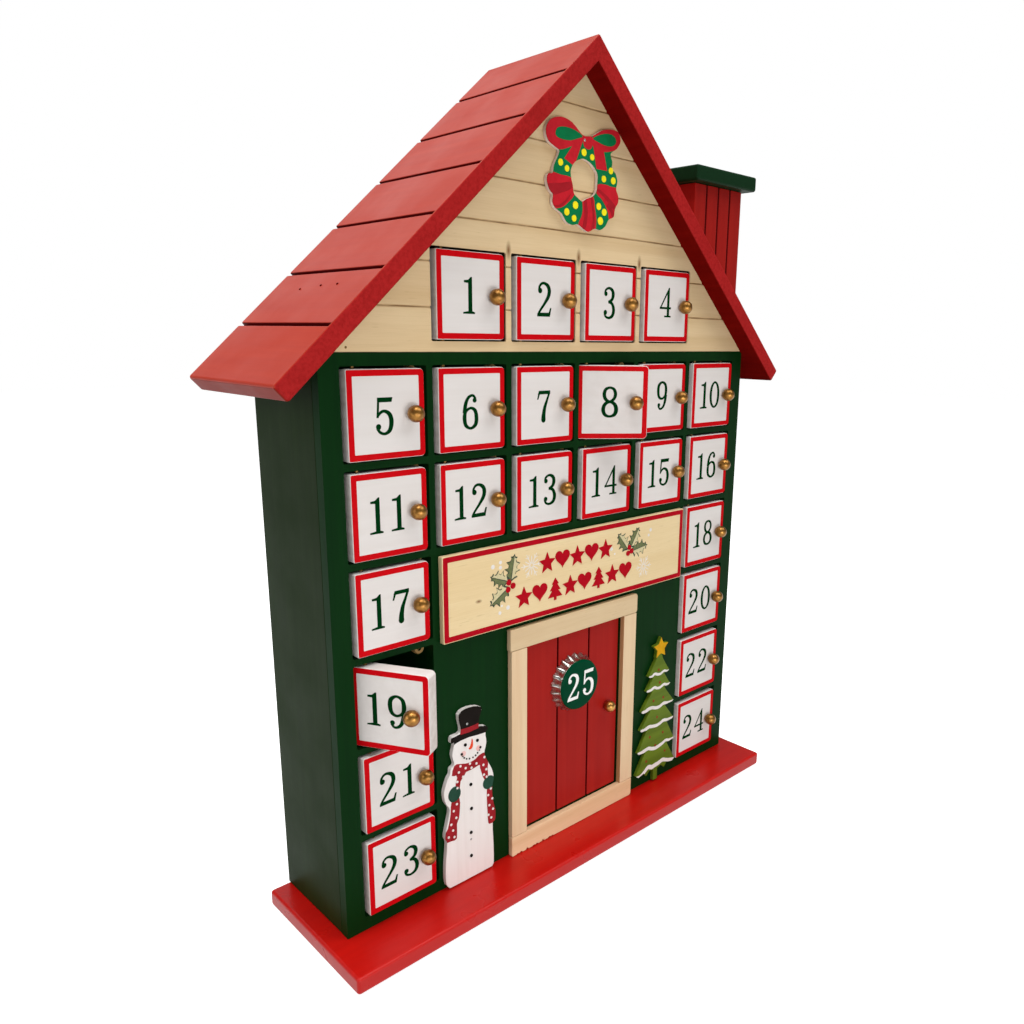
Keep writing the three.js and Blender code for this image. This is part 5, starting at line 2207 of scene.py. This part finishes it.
@dataclass
class SignBoard:
    """A pale board with a red border, sprigs of holly, snowflakes and two rows of red ornaments."""

    half: float = 84.6
    foot: float = 126.6
    head: float = 167.5
    thick: float = 3.0
    arris: float = 0.35
    corner: float = 0.6
    pen: float = 0.22
    star_size: float = 11.2
    heart_size: float = 10.6
    fir_size: float = 11.6
    border_inset: float = 0.45
    border: float = 3.0
    red_rows: tuple[tuple[float, float, int, float], ...] = ((154.2, 10.4, 5, -1.0), (139.5, 10.4, 8, -0.6))

    def ornaments(self) -> list[list[Point]]:
        """The two rows of hearts, stars and firs."""
        shapes = []
        for z, pitch, count, middle in self.red_rows:
            for place in range(count):
                x = middle + pitch * (place - (count - 1) / 2)
                kind = place % 2 if count % 2 else (place % 3)
                if kind == 0:
                    shapes.append(star(x, z - 0.3, self.star_size / 2, 0.46))
                elif kind == 1:
                    shapes.append(heart(x, z, self.heart_size))
                else:
                    shapes.append(little_fir(x, z, self.fir_size))
        return shapes

    def coats(self) -> list[Coat]:
        """The print, from the lowest colour up."""
        sprigs = (
            ((-45.3, 149.0, 13.4, 79.0), (-46.6, 149.2, 12.0, 159.0), (-46.5, 146.4, 13.6, 212.0)),
            ((37.4, 151.0, 12.8, 129.0), (39.6, 151.8, 12.4, 57.0), (40.4, 149.6, 13.4, 7.0)),
        )
        leaves = [leaf for sprig in sprigs for leaf in sprig]
        lines = tuple(holly_leaf(*leaf) for leaf in leaves)
        pale, dark, ribs = [], [], []
        for x, z, length, turn in leaves:
            way = (math.cos(math.radians(turn)), math.sin(math.radians(turn)))
            start, end = ((x + far * length * way[0], z + far * length * way[1]) for far in (0.07, 0.88))
            inner = holly_leaf(*start, length * 0.86, turn)
            pale.append(inner)
            dark.append([*inner[: len(inner) // 2 + 1], start])
            ribs.append(((*start, self.pen), (*end, 0.08)))
        flakes = [*snowflake(-32.0, 154.6, 6.6, self.pen), *snowflake(51.0, 139.0, 6.4, self.pen)]
        snow = (
            (-56.0, 158.0, 1.1), (-51.5, 159.4, 0.9), (-51.5, 156.9, 0.9), (-47.0, 136.3, 1.1),
            (-50.8, 137.9, 0.6), (-52.0, 134.6, 0.9), (56.0, 159.2, 1.0), (54.5, 156.4, 0.8),
            (24.6, 153.3, 1.0), (27.2, 150.2, 0.6),
        )
        berries = (
            (-46.5, 148.7, 1.5), (-43.9, 146.6, 1.55), (-47.0, 145.2, 1.5), (38.5, 152.0, 1.4),
            (40.5, 149.6, 1.5), (37.7, 148.8, 1.5),
        )
        return [
            Coat(SPOT_WHITE, strokes=tuple(flakes), dots=snow, clip=False),
            Coat(HOLLY_LINE, lines, clip=False),
            Coat(HOLLY_PALE, tuple(pale), clip=False),
            Coat(HOLLY_DARK, tuple(dark), clip=False),
            Coat(HOLLY_LINE, strokes=tuple(ribs), clip=False),
            Coat(SIGN_RED, tuple(self.ornaments()), dots=berries, clip=False),
        ]

    def build(self) -> None:
        """Cut the board and print it."""
        face = WALL_FACE - self.thick
        edges = (-self.half, self.half, self.foot, self.head)
        outline = rounded(*edges, (self.corner,) * 4, 3)
        board = Bench.ease(Bench.plate("sign_plank", outline, face, WALL_FACE), self.arris, angle=SAWN_BEND)
        settle_on(board, HOUSE, SIGN_WOOD, "sign_board")
        rings = []
        for inset, radius in ((self.border_inset, self.corner), (self.border, self.corner / 2)):
            inside = (-self.half + inset, self.half - inset, self.foot + inset, self.head - inset)
            rings.append(rounded(*inside, (radius,) * 4, 3))
        sides = list(zip(*rings))
        border = Bench.ribbon("sign_border", [*sides, sides[0]], face - 0.05, face + 0.1, True)
        settle_on(border, HOUSE, SIGN_RED)
        PaintedPanel("sign_print", outline, face).paint(self.coats())
        LOG.info("sign")


# House


@dataclass(frozen=True)
class Dressing:
    """How one packed board is dressed."""

    node: str
    finish: PaintedWood | BareWood
    slot: Slot
    arris: float = 0.5
    seams: Place | None = None
    seam_depth: float = 1.8


class House:
    """The boards of the house, its roof, chimney and base, with eased edges where they are seen."""

    left_slope = (-0.6807, 0.0, 0.7325)
    right_slope = (0.6807, 0.0, 0.7325)
    boards = (
        # The side panels take the green with a painted warm sheen.
        Dressing("side_panel_left", GREEN_SIDE_PAINTED_SHEEN, Slot.GREEN, 0.45),
        Dressing("side_panel_right", GREEN_SIDE_PAINTED_SHEEN, Slot.GREEN, 0.45),
        Dressing("back_panel", GREEN_BOARD, Slot.GREEN, 0.3),
        Dressing("roof_panel_left", RED_ROOF_PAINTED_SHEEN, Slot.RED, 0.55, left_slope),
        Dressing("roof_panel_right", RED_ROOF_PAINTED_SHEEN, Slot.RED, 0.55, right_slope),
        Dressing("chimney_stack", RED_UPRIGHT, Slot.RED, 0.4, (0.0, -1.0, 0.0), 1.0),
        Dressing("chimney_cap", GREEN_CAP, Slot.GREEN, 1.3),
    )

    base_box = ((-147.0, -25.0, -8.2), (147.0, 57.0, -0.2))
    eave_start = 153.5
    base_arris = 1.5
    eave_arris = 1.3
    ridge = 393.5
    fall = 0.9293
    nail_radius = 0.5
    roof_nails = ((-121.4, 41.7), (-120.2, 26.1), (-119.9, 13.3))
    gable_nail = (-125.0, 0.0, 257.8)

    kept_green = (
        *("front_panel", "floor_board", "loft_floor", "upper_shelf", "lower_shelf"),
        *("rack_left", "rack_right", "loft_ceiling"),
        *(f"row_divider_{index}" for index in range(1, COLUMNS)),
        *(f"loft_divider_{index}" for index in range(1, 4)),
    )

    def nails(self) -> None:
        """Drive the small nails that show through the paint of the left roof board, and one in the gable."""
        slope = Vector(self.left_slope).normalized()
        head = brad("nail", 0, 0, 0, self.nail_radius)
        turn = Vector((0, -1, 0)).rotation_difference(slope).to_matrix().to_4x4()
        heads = []
        for x, y in self.roof_nails:
            top = Matrix.Translation(spot(x, y, self.ridge - self.fall * abs(x)))
            heads.append(Bench.copy(head, "roof_nails", top @ turn @ TO_ORIGIN))
        bpy.data.objects.remove(head)
        settle_on(Bench.join("roof_nails", heads), HOUSE, RED_SEAM)
        settle_on(brad("gable_nail", *self.gable_nail, self.nail_radius), HOUSE, BRONZE)

    def base(self) -> None:
        """Plane the base board and round its corners."""
        board = Bench.ease(Bench.block("base_board_eased", *self.base_box), self.base_arris, 4, SMOOTH_BEND)
        settle_on(board, HOUSE, RED_BOARD, "base_board")

    def roof_edges(self, board: Piece, arris: float) -> None:
        """Close a roof board's mitre at the ridge, round its eave well and its other edges a little.

        Args:
            board: The roof board.
            arris: The width of the rounding of its other edges.
        """
        near, far = 0.3 * MM, self.eave_start * MM
        for vertex in board.data.vertices:
            if abs(vertex.co.x) < near:
                vertex.co.x = 0.0
        Bench.ease(
            board, self.eave_arris, 4, ROOF_BEND, lambda first, second: min(abs(first.x), abs(second.x)) > far
        )
        Bench.ease(board, arris, 2, ROOF_BEND, lambda first, second: max(abs(first.x), abs(second.x)) > near)

    def build(self) -> None:
        """Dress every board."""
        self.base()
        for board in self.boards:
            copy = Bench.board(board.node, f"{board.node}_eased")
            if board.finish is RED_ROOF_PAINTED_SHEEN:
                self.roof_edges(copy, board.arris)
            else:
                Bench.ease(copy, board.arris, 3 if board.arris > 1 else 2, ROOF_BEND)
            settle_on(copy, HOUSE, board.finish, board.node)
            if board.finish is RED_ROOF_PAINTED_SHEEN:
                Workshop.also(copy, RED_END, lambda normal, middle: abs(normal.y) > 0.8)
                # Painted shade: the roof boards' undersides take a darker red.
                Workshop.also(
                    copy, RED_UNDER_PAINTED_SHADE, lambda normal, middle: normal.z < -0.5 and normal.x * middle.x < 0
                )
                # Painted shade: the downward faces of the eave ends take a darker red.
                Workshop.also(
                    copy, RED_EAVE_PAINTED_SHADE, lambda normal, middle: normal.z < -0.5 and normal.x * middle.x > 0
                )
            if board.seams:
                Workshop.seams(copy, Vector(board.seams).normalized(), board.seam_depth)
        for node in self.kept_green:
            Workshop.finish(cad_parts[node], GREEN_BOARD)
        Workshop.finish(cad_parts["gable_board"], GABLE_WOOD)
        self.nails()
        LOG.info("boards")


@dataclass
class DoorStops:
    """Short turned pegs over the blocks that the doors close against."""

    radius: float = 2.78
    bore: float = 1.0
    front: float = 5.75
    back: float = 8.85
    inset: float = 3.6
    drop: float = 2.6

    def build(self) -> None:
        """Turn one peg and set a copy under the board over each compartment."""
        bore = self.bore
        profile = [
            (0.0, self.front + 1.6), (bore * 0.8, self.front + 1.5), (bore, self.front + 0.3),
            (bore + 0.15, self.front), (self.radius - 0.4, self.front), (self.radius, self.front + 0.4),
            (self.radius, self.back), (0.0, self.back),
        ]
        peg = Workshop.finish(turned("peg", profile, 0, 0, 24), PEG_WOOD)
        pegs = []
        for cell in compartments():
            x = cell.left + CELL_WIDTH - self.inset
            z = cell.foot + CELL_HEIGHT - self.drop + (0.2 if cell.foot == LOFT_SILL else 0.0)
            pegs.append(Bench.copy(peg, "door_stops", Matrix.Translation(spot(x, 0, z) - spot(0, 0, 0))))
        bpy.data.objects.remove(peg)
        settle_on(Bench.join("door_stops", pegs), HOUSE)
        LOG.info("door stops")


# Studio


@dataclass
class Studio:
    """A white floor, soft light and a camera at the photograph's angle."""

    eye: Place = (-0.29463, -0.31733, 0.27165)
    right: Place = (0.71458, -0.69938, 0.01565)
    up: Place = (0.15020, 0.17523, 0.97300)
    lens: float = 29.713
    shift: tuple[float, float] = (-0.0644, 0.0234)
    floor_size: float = 8.0
    floor_drop: float = 0.0003
    floor_greys: tuple[float, float] = (0.4, 0.86)
    floor_glow: float = 0.78
    room_glow: float = 0.26
    lamps: tuple[tuple[str, Place, Place, float, float], ...] = (
        ("key", (0.42, -0.6, 1.15), (0.0, 0.0, 0.15), 0.6, 4.2),
        ("back", (0.1, 0.95, 0.95), (0.0, 0.0, 0.25), 0.8, 1.5),
        ("top", (-0.25, -0.12, 1.35), (0.0, -0.05, 0.0), 0.7, 11.5),
        ("fill", (-0.42, -0.62, 0.12), (0.0, -0.02, 0.02), 0.35, 0.9),
        ("side", (-0.8, 0.15, 0.4), (-0.13, 0.03, 0.12), 0.4, 1.9),
        ("low", (-0.1, -0.6, 0.05), (-0.05, -0.02, 0.04), 0.3, 1.8),
    )

    def camera(self) -> None:
        """Set the camera up."""
        data = bpy.data.cameras.new("camera")
        data.sensor_fit = "HORIZONTAL"
        data.sensor_width = 36
        data.lens = self.lens
        data.shift_x, data.shift_y = self.shift
        data.clip_start, data.clip_end = 0.01, 50
        camera = bpy.data.objects.new("camera", data)
        bpy.context.scene.collection.objects.link(camera)
        right, up = Vector(self.right).normalized(), Vector(self.up).normalized()
        back = right.cross(up).normalized()
        up = back.cross(right)
        turn = Matrix((right, up, back)).transposed().to_4x4()
        camera.matrix_world = Matrix.Translation(Vector(self.eye)) @ turn
        bpy.context.scene.camera = camera

    def lamp(
        self, name: str, place: Sequence[float], target: Sequence[float], size: float, power: float
    ) -> None:
        """Hang a square soft light.

        Args:
            name: Its name.
            place: Where it hangs.
            target: The place that it points at.
            size: The length of its side.
            power: Its power in watts.
        """
        data = bpy.data.lights.new(name, "AREA")
        data.shape = "SQUARE"
        data.size = size
        data.energy = power
        lamp = bpy.data.objects.new(name, data)
        bpy.context.scene.collection.objects.link(lamp)
        lamp.location = place
        lamp.rotation_euler = (Vector(target) - Vector(place)).to_track_quat("-Z", "Y").to_euler()

    def floor(self) -> None:
        """Lay the floor, white to the camera, which keeps the object's shadow."""
        bpy.ops.object.select_all(action="DESELECT")
        bpy.ops.mesh.primitive_plane_add(size=self.floor_size, location=(0, 0, -self.floor_drop))
        floor = Bench.settle(Bench.named("floor"))
        recipe = Recipe("floor_white")
        paths = recipe.node("ShaderNodeLightPath")
        unseen, lit = ((grey, grey, grey, 1.0) for grey in self.floor_greys)
        tone = recipe.mix(paths.outputs["Is Camera Ray"], unseen, lit)
        seen = paths.outputs["Is Camera Ray"]
        for kind in ("Glossy", "Transmission"):
            seen = recipe.math("MAXIMUM", seen, paths.outputs[f"Is {kind} Ray"])
        glow = recipe.math("MULTIPLY", seen, self.floor_glow)
        recipe.set(Base_Color=tone, Roughness=0.9, Specular_IOR_Level=0.1)
        recipe.set(Emission_Color=WHITE, Emission_Strength=glow)
        floor.data.materials.append(recipe.material)

    def sky(self) -> None:
        """Light the room evenly, white where the camera sees it."""
        world = bpy.data.worlds.new("room")
        bpy.context.scene.world = world
        world.use_nodes = True
        tree = world.node_tree
        tree.nodes.clear()
        output = tree.nodes.new("ShaderNodeOutputWorld")
        mix = tree.nodes.new("ShaderNodeMixShader")
        for place, strength in ((1, self.room_glow), (2, 1.0)):
            glow = tree.nodes.new("ShaderNodeBackground")
            glow.inputs["Color"].default_value = WHITE
            glow.inputs["Strength"].default_value = strength
            tree.links.new(glow.outputs["Background"], mix.inputs[place])
        paths = tree.nodes.new("ShaderNodeLightPath")
        tree.links.new(paths.outputs["Is Camera Ray"], mix.inputs["Fac"])
        tree.links.new(mix.outputs["Shader"], output.inputs["Surface"])

    def build(self) -> None:
        """Set the studio up."""
        bpy.context.scene.view_settings.view_transform = "Standard"
        self.camera()
        self.floor()
        self.sky()
        for lamp in self.lamps:
            self.lamp(*lamp)


def main() -> None:
    """Build the calendar and the studio round it."""
    logging.basicConfig(level=logging.INFO, format="%(name)s: %(message)s")
    Studio().build()
    House().build()
    DoorStops().build()
    DoorFrame().build()
    SignBoard().build()
    Snowman().build()
    FirTree().build()
    Wreath().build()
    FrontDoor().build()
    CrownCap().build()
    NumberDoors().build()
    Type.clear()


if __name__ == "__main__":
    main()
